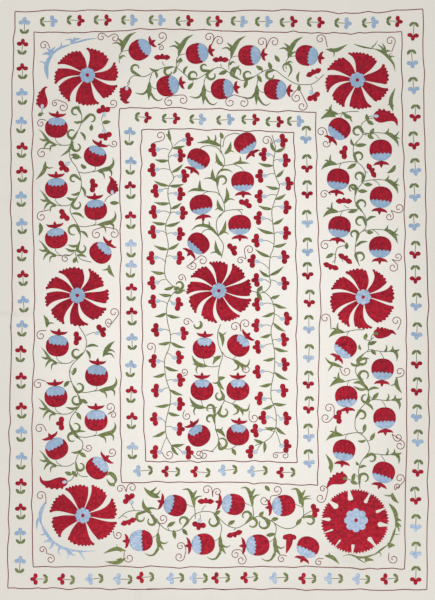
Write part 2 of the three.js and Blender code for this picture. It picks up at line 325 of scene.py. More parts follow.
# The vines that carry the fruits and the florets, and the arches and stalks that leave them
VINES = {
    "top": (
        (127, 84), (133, 76), (145, 76.5), (155.5, 70.8), (167, 67), (176.6, 67.9), (190, 78.4),
        (198.6, 78.4), (212, 69.8), (221.5, 67.9), (233, 75.6), (241, 80.2), (249.3, 79.4), (264.6, 70.8),
        (274, 69.8), (285, 77.5), (294.6, 83.3), (304, 84.7), (313.7, 83.3), (324, 74.6)),
    "left_high": (
        (78.5, 105.3), (81.8, 116.7), (79.4, 128.2), (71.5, 141), (69.9, 157), (76.6, 167.8), (81.3, 181),
        (79.4, 193.6), (71, 206), (70.8, 213), (76.6, 223), (80.4, 231.9), (79.4, 244), (75.6, 252.9),
        (78, 263)),
    "left_low": (
        (79.4, 326.9), (85.6, 337.4), (86.1, 347), (82.3, 354.6), (72.7, 364.2), (69.4, 373.8),
        (73.7, 387.2), (79.4, 397.7), (78.5, 407), (70.8, 417.8), (70, 427), (75, 436), (82.3, 441.5),
        (82, 449), (76.5, 458), (76, 468), (80, 475.5), (88, 476.6)),
    "right_high": (
        (378, 118), (368.5, 119), (361, 125), (363.5, 132), (360.5, 138), (353.9, 145.7), (353.4, 154),
        (354.9, 160), (361.6, 165.8), (365.4, 172.5), (363.5, 181), (357.7, 188.8), (354.9, 196.5),
        (355.8, 204), (361.6, 210.8), (366.3, 219.4), (365.4, 228), (358.7, 234.7), (355.8, 243.3),
        (355.3, 254.8), (359.6, 266.3)),
    "right_low": (
        (374, 337), (368.3, 343), (368.3, 349.9), (361.6, 355.6), (356.8, 363.3), (355.8, 371.9),
        (359.6, 379.5), (367.3, 387.2), (368.3, 394.8), (365.4, 402.5), (358.7, 411), (355.3, 418.8),
        (356, 430), (365.4, 438), (369.4, 449.8), (360.8, 462.5), (358.5, 474), (360, 489)),
    "bottom": (
        (118.2, 518.7), (127.4, 511.8), (137.8, 510.7), (149.2, 513), (158.8, 523.3), (168, 530.2),
        (179.4, 530.2), (188.6, 521), (195.5, 514), (204.7, 511.3), (213.9, 513), (220.8, 519.9),
        (227.7, 525.6), (236.8, 527.9), (246, 523.3), (254, 517.6), (262, 516.4), (271.3, 521),
        (280.5, 526.8), (289.6, 528.6), (298, 524), (303, 516), (312, 510.5)),
    "field_high": (
        (221.5, 133), (220.6, 148.6), (224.4, 159), (223.4, 166.8), (217.7, 173.5), (216.3, 181),
        (218.7, 191.7), (223.4, 202), (224.4, 210.8), (218.7, 216.5), (216.3, 224.2), (218.7, 236.6),
        (223.4, 245.2), (221.5, 258)),
    "field_low": (
        (220.6, 324), (217.7, 333.6), (218.7, 345), (222.5, 355.6), (219.6, 366), (218.2, 376.7),
        (220.6, 391), (224.4, 399.6), (219.6, 409), (214.9, 417.8), (215.8, 429.3), (218.5, 438.4),
        (217.3, 445), (211.6, 451), (206, 450)),
    "floret_left": (
        (166, 134), (170, 140), (172.3, 147), (168.4, 156), (169.9, 168.7), (173.7, 178.3), (168.9, 186),
        (168, 196.5), (170.8, 210.8), (165.6, 226), (168.4, 246), (166, 258), (164.6, 270), (166, 278),
        (172.8, 286), (180, 289.6), (187, 291.6)),
    "floret_left_low": (
        (177, 290), (170.8, 296.3), (166.6, 308), (167.6, 322), (170.6, 336), (169, 348), (164.6, 360),
        (166, 378), (170.4, 392.9), (169.9, 404.4), (166, 421), (166, 434), (170.5, 444), (178.3, 455)),
    "floret_right": (
        (272, 135), (275.4, 148), (273.2, 163.9), (276, 177.3), (279.4, 187), (274.6, 201.2),
        (271.8, 212.7), (274.2, 236), (273.4, 248), (270.2, 257), (269.2, 274), (270.6, 284), (266, 291),
        (260, 293), (252, 291)),
    "floret_right_low": (
        (262, 291), (270, 297), (274.2, 308), (273.6, 320), (271, 332), (274.6, 353), (274, 372),
        (271.2, 387), (271.4, 399), (275.6, 411), (276, 425.5), (272, 435.5), (264.4, 441.8), (255, 445.6)),
    "arch_high": (
        (222.7, 147.6), (225.3, 137.4), (234.2, 133.4), (240, 134.4)),
    "arch_left": (
        (221.6, 153.6), (217, 147.6), (208.6, 145.6), (202, 147), (199.4, 149.6)),
    "arch_right": (
        (219, 217.4), (225, 211.2), (234, 209.8), (243.3, 209.6)),
    "stalk_right": (
        (238, 210), (240.8, 212), (241.9, 214.8)),
    "arch_low": (
        (218.6, 236.8), (214, 231.6), (208, 229.4), (203.6, 231), (201.4, 234)),
    "foot_right": (
        (218.4, 440), (222.6, 447.4), (230, 449), (236.4, 445.4)),
    "fruit_left": (
        (76.9, 253.8), (80.8, 259.2), (91.5, 262.3)),
    "bud_right": (
        (346.9, 245.4), (337, 248.5), (334.6, 263.8)),
}

# Florets of the field: where each stands, and where its stem leaves the vine
FIELD_FLORETS = (
    (153.4, 150, 169, 150), (152.6, 170, 169.8, 170), (155.6, 191, 168.4, 189), (153.8, 212, 170, 213),
    (153, 232, 166, 233), (151.6, 258, 165.8, 262), (152.4, 283, 166, 279.6),
    (153.2, 301.5, 167.8, 304), (156, 330, 170, 331.5), (153.6, 361, 164.8, 363),
    (156, 390.5, 169.6, 388), (154.8, 419, 166.2, 423.5), (155, 452, 166.6, 437),
    (188.6, 139.4, 174, 146), (180.6, 155.6, 168.8, 157.4), (184.4, 176, 173.8, 177.6),
    (180.4, 194, 168, 194.4), (182.8, 213, 170.6, 213.2), (180, 234, 165.8, 234.6),
    (179.6, 258, 166.8, 256.4), (178.2, 304, 168.2, 300.6), (183.6, 333.4, 170.4, 335),
    (179, 357.4, 166.8, 353), (180.2, 380, 166.4, 381), (180, 404, 169.6, 405.6),
    (179.8, 429, 166.2, 426.6), (188.6, 452.6, 172.4, 446), (263.8, 154.4, 274.6, 158),
    (260.2, 176, 275.2, 174), (259.6, 196.4, 276.6, 195), (258.6, 218, 272.6, 222),
    (256.4, 240.6, 273.8, 244), (252.4, 261, 269.4, 269), (256.4, 280, 270.2, 283),
    (257, 304.4, 273.6, 304.6), (256.4, 325.4, 272, 326.4), (257.6, 347, 273.4, 344),
    (257.6, 371.8, 274, 374), (259.6, 398.4, 271.4, 399.4), (263.4, 417.6, 276, 421),
    (255.4, 430.6, 274, 431.6), (250.6, 451.6, 262, 443.4), (282.8, 140.6, 273.6, 143),
    (285.6, 160.4, 273.6, 161), (288.4, 183.6, 279, 185.6), (286.4, 207.4, 272.8, 207.6),
    (286, 233, 274, 234), (284.4, 257, 270.4, 257.6), (284.4, 283.4, 270.6, 280),
    (287, 318.6, 274, 314), (284, 339.6, 271.8, 341), (284.6, 364.4, 274.6, 362),
    (283.4, 390.6, 271.2, 391), (286.4, 418.4, 276, 414.6), (286.4, 446, 275.4, 430.4),
)

# Lens-shaped leaves of the field's side vines: from the vine to the tip
FIELD_LEAVES = (
    (172.3, 147.7, 185.2, 145.7), (170, 141.6, 169, 128.8), (168, 160.6, 154.6, 159.6),
    (172.8, 171.6, 183.3, 163.9), (168.9, 185.5, 153.6, 180.7), (169.9, 186.9, 184.2, 184),
    (167, 203.6, 153.6, 202.2), (170.4, 208.4, 181.8, 202.7), (165, 224.7, 151.7, 221.8),
    (167, 225.6, 180.9, 221.3), (168, 249.6, 153.6, 245.3), (168.9, 250, 179.4, 242.9),
    (164, 273, 150.7, 271), (164, 289.6, 175, 285.7), (170.8, 295.3, 158.4, 293.9),
    (174.7, 294.4, 185.2, 289.6), (165.6, 313.5, 154.6, 316.8), (166.5, 315, 180.4, 317.3),
    (169.9, 342.2, 157.4, 344), (170.8, 342.2, 185.7, 348), (164, 365.6, 179, 371),
    (164, 373.8, 152.7, 377), (169.9, 389, 183.3, 395.3), (169.9, 404, 154.6, 406.3),
    (168.4, 412.5, 180, 415.4), (164, 431.5, 151.9, 437.2), (173.7, 443, 185, 444),
    (172.6, 445.3, 178.3, 455.6), (276, 152.4, 285.7, 147.2), (273.6, 152.4, 270.4, 141),
    (272.3, 165.4, 257.9, 163), (276.6, 176.8, 283.8, 169.7), (279, 188.3, 265.6, 185.9),
    (276.6, 200.8, 286, 194), (271.3, 209.4, 257.9, 205.6), (273.2, 224.2, 283.8, 218),
    (272.3, 233.3, 256.5, 227.6), (276, 247.7, 287, 242.9), (269.4, 256.7, 255, 249),
    (270.4, 275, 283.8, 266.3), (269.4, 276.4, 258.9, 269.7), (270.4, 298.2, 280, 294.8),
    (274.2, 303.9, 287, 308.2), (274.2, 313, 261.7, 316.8), (274.2, 323, 285.7, 331.7),
    (270.4, 333.6, 259.8, 337.4), (274.2, 347, 288.5, 351.3), (274.7, 358, 262.7, 360.4),
    (275.1, 371.9, 288.5, 380), (271.3, 383.3, 258.9, 386.2), (273.2, 403.4, 286.6, 404.4),
    (272.3, 405.4, 261.7, 409.2), (277, 426.9, 286.2, 434.9), (274.7, 428.6, 264.4, 427.5),
    (263.2, 443, 253.5, 439), (263.8, 441.8, 263.8, 453.3),
)

# Leaves with a barb at their foot: from the foot to the tip, and the tip of the barb
BARBED_LEAVES = (
    (223.9, 166.8, 215.8, 152.4, 214.6, 162.8), (224.4, 154.4, 231, 141.4, 234.4, 152.4),
    (216.3, 182, 212.5, 168.7, 203.4, 179.2), (224, 204, 226.3, 186.9, 235, 200.3),
    (223.5, 211.3, 217.2, 199.3, 214.9, 210.3), (218.2, 235.7, 225.9, 219.9, 229.2, 234.7),
    (222, 256.3, 215.3, 240, 210, 253.9), (218.7, 331.7, 222.5, 347, 226.4, 331.7),
    (221.6, 356, 212.5, 364.7, 212.4, 356.4), (218.4, 379.6, 224.4, 390, 211.6, 382.6),
    (218, 381, 225.6, 377.4, 219, 376), (214.8, 429.6, 225.6, 437.4, 223, 426.6),
    (45.6, 161.2, 36, 179.8, 53.6, 167.4), (86.6, 167.8, 81, 163.8, 80, 166),
    (39.8, 222.8, 38.6, 236, 41, 230), (109, 264.6, 114.6, 277.4, 101.6, 269.8),
    (46.8, 327.6, 43.4, 314.6, 54.4, 323.4), (290.6, 57, 286, 47.4, 298, 51.8),
    (325.8, 49.4, 347.4, 44.4, 333.6, 57.2), (336, 116.6, 320.4, 118.4, 329.4, 106),
    (352, 117.6, 342, 111.4, 352.6, 122.6), (393, 111.4, 395.4, 87.4, 387.4, 105.6),
    (395.4, 165, 386.6, 173.4, 395, 170), (396.6, 377, 402, 393.6, 390, 385.4),
    (330.6, 473, 325.4, 453.4, 331.6, 462), (392, 492.6, 399, 503.4, 383.6, 494.8),
    (126, 550.8, 103.4, 553.4, 117.2, 544), (126, 558, 105, 561.6, 116, 560),
    (324.4, 555.6, 339.4, 564, 328.6, 552), (299.8, 504.4, 295.8, 489.2, 311.8, 499),
)

# Florets of the bands: where each stands, the way it points, its form, and where its stem
# starts. Form 0 has no stem, 1 has a pale cup on its stem, and 2 is seen from the side.
BAND_FLORETS = (
    (103.3, 110, 100, 1, 101.6, 121), (105, 135.6, -80, 1, 102, 124), (63.6, 166.8, -140, 1, 70.2, 161.6),
    (92.8, 185.5, 0, 0, 84, 184), (64.2, 215.2, -142, 0, 69, 213), (76.6, 338.4, 0, 0, 80, 334),
    (101.4, 330.7, 30, 1, 86, 335.6), (61.2, 423.5, 180, 0, 70, 426), (162.2, 57.4, 90, 2, 165, 66),
    (220.6, 59.8, 90, 2, 222, 67), (313.7, 72.7, 115, 2, 318, 79), (313.7, 96.7, -60, 1, 311, 85),
    (344.3, 152.4, 175, 0, 353, 150.6), (371.4, 170.6, 30, 2, 364, 172), (343.9, 201.2, 90, 2, 349, 208),
    (345.3, 258.7, 55, 2, 338, 255), (338.6, 416.8, 180, 0, 353, 421), (128.6, 498.4, 130, 1, 134.6, 510),
    (128.6, 521.6, -70, 2, 122, 516), (205.8, 501.4, 90, 2, 201.6, 511), (199, 525, -100, 1, 200, 514),
    (234.5, 533.8, -72, 2, 236, 528), (314.4, 510.6, 10, 0, 306, 514), (245.5, 203.6, 63, 0, 236, 203),
    (232.4, 249.4, 34, 0, 224, 248), (330.9, 266.3, -110, 2, 336, 257),
)

# Red buds with a hooked tip: the run from the foot to the tip, the greatest width, the side
# with the knobs, where the stem comes from, and the thread of the cup at the foot
HOOKED_BUDS = (
    (((42, 108.6), (42.6, 103), (42.5, 97), (43, 91.5), (45, 87.8), (47.6, 87.2)), 10.8, 1,
     (43.6, 114.6), "pale"),
    (((127.2, 86.4), (126.4, 91), (125, 96), (124.6, 100), (126, 102.4), (129.8, 102.2)), 11.4, -1,
     (129.6, 80), "pale"),
    (((373.6, 116), (380, 116.4), (387, 116.5), (393, 118.4), (396, 121), (397.2, 125.6)), 13, 1,
     (366, 119), "pale"),
    (((373.4, 333.6), (380, 333.4), (387, 333), (392, 331.6), (395.9, 334.6)), 10.8, 1,
     (371, 340.6), "green"),
    (((67.6, 481.6), (60, 482.5), (52, 484), (46, 483.4), (41.5, 481), (40.2, 476)), 11, 1,
     (74, 476), "pale"),
    (((347.4, 478.4), (341, 478.5), (334, 480.5), (329.5, 483.5), (326.8, 488.2)), 12, -1,
     (352, 480), "green"),
    (((112.6, 194.4), (112, 189.5), (112.5, 184.5), (112, 180), (109.4, 176.4)), 10.8, -1,
     (104.6, 202), "pale"),
)

# The red bell of the bottom band, from its cap to its tip
BELL_BUD = ((289.6, 533.6), (289.5, 540), (288.5, 546), (286.3, 553))

# Tendrils of fine thread: where each starts, and the middles of the one or two scrolls
TENDRILS = (
    ((50, 48.6), (44, 45.5)), ((108, 37.4), (101.4, 37.3), (114.8, 38.3)),
    ((57, 99.8), (55, 103.6), (63, 107.2)), ((107.4, 107.2), (113, 103.3)),
    ((108.4, 144.4), (113.9, 143.5)), ((46.4, 120.4), (41, 123.5)), ((51.6, 149), (42, 153.4)),
    ((50.6, 209.6), (41.6, 216.6)), ((104.6, 226.8), (96.7, 234.3), (113.9, 233.8)),
    ((70.6, 255.6), (65.4, 258.7)), ((157.6, 45), (162, 36.4), (160.8, 47.8)),
    ((211, 46.2), (209, 37.3), (219, 41)), ((172.8, 95.7), (169, 102), (182.8, 100)),
    ((265.6, 49), (261.7, 42.1), (274.2, 42.1)), ((234, 94.7), (230.2, 102.4), (243.6, 102.9)),
    ((153.6, 142.6), (160.3, 135.9)), ((273, 144.4), (266.5, 140.7)), ((327.4, 47.4), (320.4, 39.2)),
    ((391.5, 52), (390.3, 41.1)), ((298.6, 88), (296.5, 97.6), (302.2, 106.2)),
    ((328, 137.2), (321.4, 132), (326, 143.5)), ((330.8, 195), (324.2, 194.5)),
    ((391, 210.4), (398.9, 207.9), (389.3, 216.6)), ((331.4, 241), (325.2, 245.3)),
    ((392, 259.4), (397.9, 256.7), (393, 267.3)), ((46.4, 330.6), (41, 335.5)),
    ((108.4, 327.6), (113.9, 312.5), (109, 322)), ((46, 381.4), (38.3, 384.3)),
    ((107.6, 414.6), (110, 407.3), (113, 415)), ((46.6, 431.2), (39.6, 428.6)),
    ((331, 329.6), (325.2, 318.3)), ((397.4, 330), (396, 321)), ((339.6, 367.8), (346.2, 371)),
    ((395.4, 377.8), (399.8, 371.9)), ((334, 415.8), (329, 408.2), (325.7, 417.8)),
    ((106, 455.4), (111.9, 452)), ((82.6, 448.6), (88.4, 447.6)), ((46, 504), (40.8, 495.8)),
    ((46.6, 553.4), (42.5, 549.7), (50.5, 559)), ((126.2, 492), (120.5, 488.9), (132, 487.7)),
    ((113.4, 530.6), (118.2, 534.8)), ((124.4, 550), (129, 557.8)), ((161.8, 452), (169, 454.4)),
    ((280, 453), (275.9, 455.6), (285, 455.6)), ((212.6, 497), (207, 490), (217.3, 492.3)),
    ((157.4, 523.4), (162.8, 518.7)), ((186, 550), (180.6, 546.3), (179.4, 556.6)),
    ((240.6, 549.6), (235.7, 554.3), (241.4, 560)), ((271, 496), (277, 490), (264.4, 500.4)),
    ((287, 556), (281.6, 558.9)), ((392, 434), (398, 437.2), (399.8, 445.3)),
    ((395, 490), (399.8, 478.5), (397.5, 486.6)), ((328, 489.6), (322.9, 488.9), (320.6, 498)),
    ((323.6, 558.8), (318.9, 562.3)), ((389, 552.6), (393.5, 558.9)),
    ((246, 259), (240.7, 260.6), (249.3, 250)), ((186.6, 266.6), (192.8, 265.4), (202.4, 260.6)),
    ((186, 281), (181.4, 277.8)), ((193, 322.4), (187, 322)),
    ((241, 331.6), (235, 326.9), (245.5, 324)), ((154.6, 353), (150.7, 347)),
    ((181, 376.6), (184.2, 371.9)), ((243, 363.4), (246.4, 369)), ((184.6, 410), (187, 415.9)),
    ((249.4, 410.4), (254, 417.8)), ((187, 448.6), (199, 454)), ((214, 452), (204, 455)),
)

# Thick curls: the middle of each, its radius, where its foot is round that middle, and how
# far it turns. Near a vine it leaves from there instead, turning to the same side.
CURLS = (
    (135.6, 68.6, 4.2, -120, -280), (75.6, 111.6, 4.0, -10, 270), (91.2, 118.6, 4.2, -160, -240),
    (72, 133.8, 4.6, -60, -280), (76.6, 147, 4.2, 110, 250), (73.7, 178.8, 3.6, -20, 300),
    (76.8, 204.6, 4.4, 110, 250), (73.4, 230.6, 5.2, 20, 270), (81.8, 248.4, 4.4, 120, 250),
    (168.4, 71.8, 4.0, 150, 200), (193.3, 75.8, 4.4, -120, -250), (204.2, 67.4, 3.4, -60, -200),
    (211.5, 75.4, 4.4, 60, 260), (247.8, 75.2, 4.2, -120, -270), (270.4, 75.4, 4.2, 80, 250),
    (236.4, 72.6, 5.2, -100, -130), (357.4, 131.4, 4.4, 20, 300), (358.6, 156.6, 4.4, -160, -230),
    (359, 176.6, 4.2, -30, 280), (352.4, 188.6, 3.8, 0, 190), (361.6, 204.4, 4.6, -170, -240),
    (360.2, 221.6, 4.6, -20, 280), (354.2, 234.4, 3.8, -20, 210), (360, 257, 4.6, 170, -230),
    (76.6, 353.2, 4.6, 20, -280), (79, 387.4, 4.6, -120, 250), (76.6, 400, 4.8, 60, -190),
    (75.6, 427.2, 4.6, 150, 260), (72.4, 437.4, 4.8, 40, 220), (80.4, 466.6, 4.0, 170, 240),
    (362.4, 360.4, 4.6, 120, 130), (364, 375.6, 5.0, 160, -290), (361.4, 415.2, 4.4, 130, -230),
    (365.4, 398.2, 4.2, 120, -120), (364, 478, 4.6, 160, -250), (371.6, 458, 4.0, 150, -200),
    (140.8, 517.4, 4.4, 100, 240), (151.4, 521, 4.2, 90, -160), (183.4, 521.2, 4.4, -40, 260),
    (213.4, 521.4, 5.0, 60, -230), (246.4, 515.8, 4.6, -80, 280), (252.4, 523, 4.8, 130, -230),
    (263.6, 523.4, 5.4, 60, -130), (310, 520.6, 4.2, -150, -250), (222.2, 180.6, 4.6, 170, -230),
    (219.4, 395.8, 4.2, -30, -230), (210.2, 408.6, 4.0, -60, 250), (223.6, 412.2, 4.6, 170, 230),
    (210.2, 419, 3.8, 20, 230), (179.2, 285.4, 4.0, -60, 230), (221.6, 443, 5.6, 160, 100),
    (197.4, 324.6, 4.2, 60, -250),
)

# Garlands that hug the corner rosettes on their outer side, and a few leaves with a shape of
# their own: their thread and their strokes, each with its width
GARLANDS = {
    "top_left": ("blue", (
        (4.6, ((48, 79.8), (46.3, 67.3), (48.8, 59.8), (52.2, 54.8), (57.2, 49.8))),
        (2.6, ((52, 55), (57.2, 49.8), (62.2, 47.2), (67.2, 45.6), (73, 42.8))),
        (2.2, ((70, 44.4), (79.7, 41.5), (88, 39.4), (97.8, 38.4))),
        (2.6, ((47, 66.4), (44, 62.6), (39.4, 61.9))),
        (5.0, ((53, 55.4), (47.6, 53.4), (42.4, 54.4))),
        (4.6, ((52, 54), (49.4, 50.4), (46.4, 48.2))),
        (4.6, ((51, 54), (52.6, 50), (55.6, 46.8))),
        (2.2, ((61.4, 48), (61.2, 45), (62.2, 41.8))),
        (2.6, ((73, 43.4), (70.6, 39.6), (65, 40.2))),
        (4.2, ((71, 43), (75.4, 39.6), (80.8, 38.6))),
        (3.0, ((72.4, 42.4), (73.6, 39.6), (74.6, 37))))),
    "bottom_left": ("blue", (
        (3.8, ((46, 501), (42.2, 508.7), (40.5, 514.5), (40.5, 521), (43.4, 528.7))),
        (3.4, ((41.4, 524), (45, 531.4), (50, 538), (56, 543.6))),
        (3.0, ((52, 540.6), (60.8, 546.8), (70, 549.8), (80, 550.9))),
        (2.2, ((72, 550.4), (84, 551.4), (95.8, 550.8))),
        (3.6, ((41, 517), (37.4, 521), (36.8, 529.4))),
        (2.0, ((45.6, 533), (42.4, 534.8), (39.6, 534.6))),
        (4.0, ((51.4, 541), (47.6, 540.6), (43.8, 542.2))),
        (3.4, ((53, 542), (52, 546), (48.8, 549.4))),
        (2.6, ((60, 547), (58.4, 551.6), (60.6, 555.6))),
        (4.0, ((68, 550), (71.4, 554), (75.8, 555.6))),
        (3.2, ((68, 550.4), (68.6, 555), (67, 558.4))),
        (2.8, ((80, 551.4), (82.4, 556), (85.4, 560))))),
    "top_right": ("green", (
        (2.0, ((353.4, 44.2), (362, 46.8), (370, 48.3), (378.3, 49.6))),
        (3.4, ((374, 48.8), (383, 52.4), (390, 59.2), (393.8, 65), (395.2, 72.4))),
        (3.2, ((383.6, 52), (381.8, 47.6), (377.4, 44.6))),
        (3.4, ((384.4, 52.4), (384.6, 47.8), (382.2, 43))),
        (3.4, ((385, 53), (387.2, 50.8), (391, 51.4))),
        (2.4, ((389, 58.4), (391.4, 56.4), (395, 56.6))),
        (2.0, ((389.4, 57.6), (389.6, 54.6), (391.6, 53))),
        (1.6, ((371.6, 47.6), (375, 44.6), (377.7, 40.4))))),
    "bottom_right": ("green", (
        (4.4, ((388.6, 503.2), (393.3, 508.7), (395.8, 514.5), (396.3, 521.2), (395.2, 529))),
        (2.6, ((395.8, 526), (393.3, 534.5), (390, 542), (385, 547.6))),
        (2.2, ((388, 544.6), (380.7, 549.9), (375.7, 553.7), (369, 556.2))),
        (2.4, ((376, 553.6), (366, 557), (358, 557.2), (350, 554.6), (342.2, 556))),
        (4.0, ((395.6, 519), (398.8, 519.8), (401.6, 520.6))),
        (4.0, ((395.8, 523), (398.8, 524.6), (401.4, 527))),
        (3.6, ((396, 524), (398.4, 528), (399.2, 532))),
        (6.4, ((387.8, 545.6), (391.4, 545), (395, 545.6))),
        (1.4, ((393.6, 534), (397.4, 534.4), (400, 534))),
        (5.0, ((364.6, 559.6), (369.4, 559.4), (373.8, 560.4))),
        (2.0, ((357, 557.6), (361.6, 561), (366.4, 563.4))),
        (1.6, ((379, 551.4), (381, 554.6), (380.6, 557))))),
    "field_top": ("green", (
        (4.6, ((222, 146.6), (214.2, 143.3), (208.3, 141.7), (202, 142.4), (196.7, 142.8))),
        (4.0, ((209, 141.6), (208.8, 138.6), (207.4, 135.6))),
        (3.4, ((214, 143.4), (215.6, 139), (215.4, 134.4))),
        (2.4, ((216.6, 176.6), (220, 171), (225.5, 169.6), (230, 170.8), (233.4, 173.4))))),
    "field_left": ("green", (
        (3.8, ((218.6, 236.6), (212, 229), (205.4, 225.6), (197, 226), (190.8, 231))),
        (2.8, ((203, 225.6), (203, 222), (201.8, 219.4))),
        (3.0, ((208, 227.6), (209.4, 224.4), (208.8, 221))))),
    "band_foot": ("green", (
        (5.2, ((160, 497.6), (152.8, 494.9), (147, 491), (143.6, 486.8))),
        (3.6, ((150, 493), (153.8, 490), (157, 486.8))),
        (3.0, ((154, 495.4), (158.2, 493.4), (160.4, 490))),
        (4.4, ((152, 513), (147, 510), (143.6, 505.4), (143, 498.6))),
        (3.6, ((146.4, 509.4), (152, 508), (157.6, 509.6))))),
    "right_low": ("green", (
        (3.6, ((343.1, 367.7), (335.4, 364.6), (329.2, 362.3), (324.6, 356.9))),
        (2.8, ((332.3, 364.6), (329.2, 369.2), (327.7, 371.5))),
        (4.0, ((353.1, 383.1), (360, 382.3), (366.2, 387.7), (368.5, 392.3))))),
    "top_curl": ("green", (
        (2.6, ((287.8, 77.6), (291.4, 70.4), (289.6, 65), (285.8, 63.6), (282.9, 66.6), (284.4, 71.4),
               (287.4, 71.8))),)),
    "left_foot": ("green", (
        (4.6, ((106.3, 475.6), (109.7, 473.2), (113.8, 476), (115.8, 481), (112.8, 485))),
        (4.2, ((115, 484.6), (110, 484), (106.4, 478.6))))),
    "left_low": ("green", (
        (5.0, ((103, 357), (107, 349), (111, 344), (115, 341))),
        (3.4, ((106, 351), (111, 350), (115.4, 352.5))),
        (3.0, ((105, 354), (111, 354), (114.6, 358.6))))),
}

# Plump leaves: the middle of each, the way it points, and its size
ROUND_LEAVES = (
    (91.4, 127.6, 84.6, 2.6), (106.4, 122.2, 8, 3.4), (40.2, 114.6, -150, 2.0), (75, 260, 60, 2.6),
    (114.6, 203, 0, 3.6), (76, 157.6, -10, 2.8), (74.4, 371.4, -110, 3.2), (66.4, 384, -130, 3.0),
    (84.4, 401.4, -30, 3.0), (79, 416, -60, 3.2), (83, 454.8, -35, 3.0), (74.6, 474, -50, 3.0),
    (68.4, 473.4, 160, 3.0), (180.4, 60.4, 80, 2.0), (190.6, 86, 50, 3.4), (222.8, 72.8, -160, 3.6),
    (245.6, 84.4, -110, 3.4), (259.4, 68, 150, 3.2), (259.6, 79, -60, 3.2), (270, 65.8, 110, 3.2),
    (277, 58.6, 125, 3.2), (299, 88, 90, 2.4), (221.6, 135.6, 110, 2.6), (367, 117.6, 100, 2.8),
    (370.4, 122.8, -30, 3.0), (372, 131.6, 60, 3.0), (370.6, 137, -30, 2.8), (361, 145.2, 5, 4.4),
    (351.6, 166.4, -150, 4.0), (368.4, 184.6, 0, 3.2), (362.8, 191.2, 0, 3.6),
    (352.6, 211.2, -165, 4.0), (370, 232.4, 0, 2.6), (346.6, 245.8, 90, 2.6), (329.6, 255.8, -150, 3.4),
    (365.6, 336.4, 70, 2.6), (372.4, 343, 20, 3.6), (373.6, 352.2, -50, 2.8), (375.6, 396, 50, 3.6),
    (364.4, 428.4, -100, 3.4), (372.6, 436.6, 60, 3.4), (171.4, 524, 30, 3.6), (174.4, 534.6, -80, 3.6),
    (185, 532, -50, 3.2), (217.6, 512.4, 30, 2.6), (231.6, 522.4, 30, 3.0), (261.4, 514, 50, 2.6),
    (267.4, 488.4, -50, 2.8), (275, 519, 10, 2.8), (271, 534.6, 10, 3.8), (299, 521.6, 50, 3.4),
    (234, 452, -60, 3.0), (353.4, 477, 80, 3.0), (354, 482.6, -20, 3.0), (176.4, 288.4, 30, 2.2),
    (259.4, 296.6, -60, 3.8), (259.6, 289, 50, 3.2),
)

# Small pointed side leaves on the band vines: foot and tip
TICKS = (
    (81.6, 121.2, 73.4, 121.8), (80.2, 132, 85.4, 141), (70.2, 155, 81.6, 158.4),
    (72.4, 141, 60.6, 156.4), (79.8, 192, 71, 194.6), (75.6, 199, 66.4, 197.2),
    (80.6, 186, 85.2, 197.4), (71.6, 213.4, 84.4, 218.2), (80.4, 231, 88, 238), (78.6, 245, 68, 244.8),
    (76.6, 250.4, 65.2, 248), (76.4, 256, 86.6, 257), (86.2, 347, 98.8, 346.6), (86, 350, 90, 359.4),
    (80, 406.6, 65.6, 407), (70.6, 435, 86, 431.6), (82.4, 449.4, 71, 452.4), (158.8, 70.4, 149.4, 68),
    (155, 71.6, 156.6, 78.6), (183.8, 74.4, 188, 66), (176, 67.6, 172.6, 74),
    (233.6, 76.6, 239.6, 65.2), (354.2, 146, 351, 138.6), (358, 189.4, 350, 186.2),
    (365.8, 221.4, 376.4, 216.6), (355.4, 247, 367.8, 241.4), (357, 362.4, 369.6, 358.6),
    (355.8, 367, 365, 364.2), (356.6, 365.6, 350.4, 362.4), (367.6, 389, 353.4, 386),
    (368, 390.4, 379.4, 388.4), (361, 350, 359.4, 344.4), (365.4, 403.4, 373.4, 410.4),
    (366, 440, 357.6, 440.8), (359, 465, 356, 461.6), (359.4, 468, 366.6, 466.2),
    (149.4, 513, 154.6, 525.6), (157.6, 522.6, 153, 514), (262.6, 516.4, 268, 527.8),
    (298.4, 82.6, 299.6, 71.6),
)


def srgb(red, green, blue):
    """A colour read as 0 to 255, as the linear light that Blender works in."""
    def linear(value):
        share = value / 255
        return share / 12.92 if share <= 0.04045 else ((share + 0.055) / 1.055) ** 2.4
    return tuple(linear(value) for value in (red, green, blue))


def chart(x, y):
    """A place on the chart as metres from the cloth's middle: x + iy, with y up."""
    return complex(x - CHART_WIDE / 2, CHART_HIGH / 2 - y) * SQUARE


def charted(places):
    """Several places on the chart, in metres."""
    return [chart(*place) for place in places]


def squares(count):
    """A number of squares of the chart in metres."""
    return count * SQUARE


def heading(degrees):
    """A step of one metre in a direction: 0 to the right, 90 towards the top."""
    return complex(math.cos(math.radians(degrees)), math.sin(math.radians(degrees)))


def smooth_line(points, steps=8):
    """A Catmull-Rom curve through the points, as a fine chain of them."""
    held = [2 * points[0] - points[1], *points, 2 * points[-1] - points[-2]]
    p = np.array(held)
    a, b, c, d = p[:-3], p[1:-2], p[2:-1], p[3:]
    t = np.linspace(0, 1, steps, endpoint=False)[:, None]
    spans = b + 0.5 * ((c - a) * t + (2 * a - 5 * b + 4 * c - d) * t**2 + (3 * b - a - 3 * c + d) * t**3)
    return np.append(spans.T.ravel(), points[-1])


def run_of(line):
    """How far along a chain of points each one is."""
    return np.concatenate([[0], np.cumsum(np.abs(np.diff(line)))])


def resample(line, shares):
    """The places at shares of the length of a chain of points."""
    run = run_of(line)
    return np.interp(shares * run[-1], run, line)


def shares_for(length, step, edge):
    """Shares of a length to sample at: every step, and just inside both ends."""
    count = max(3, int(round(length / step)))
    inside = min(0.25, edge / max(length, 1e-6))
    return np.concatenate([[0], np.linspace(inside, 1 - inside, count), [1]])


# The cloth's height above the surface that it lies on


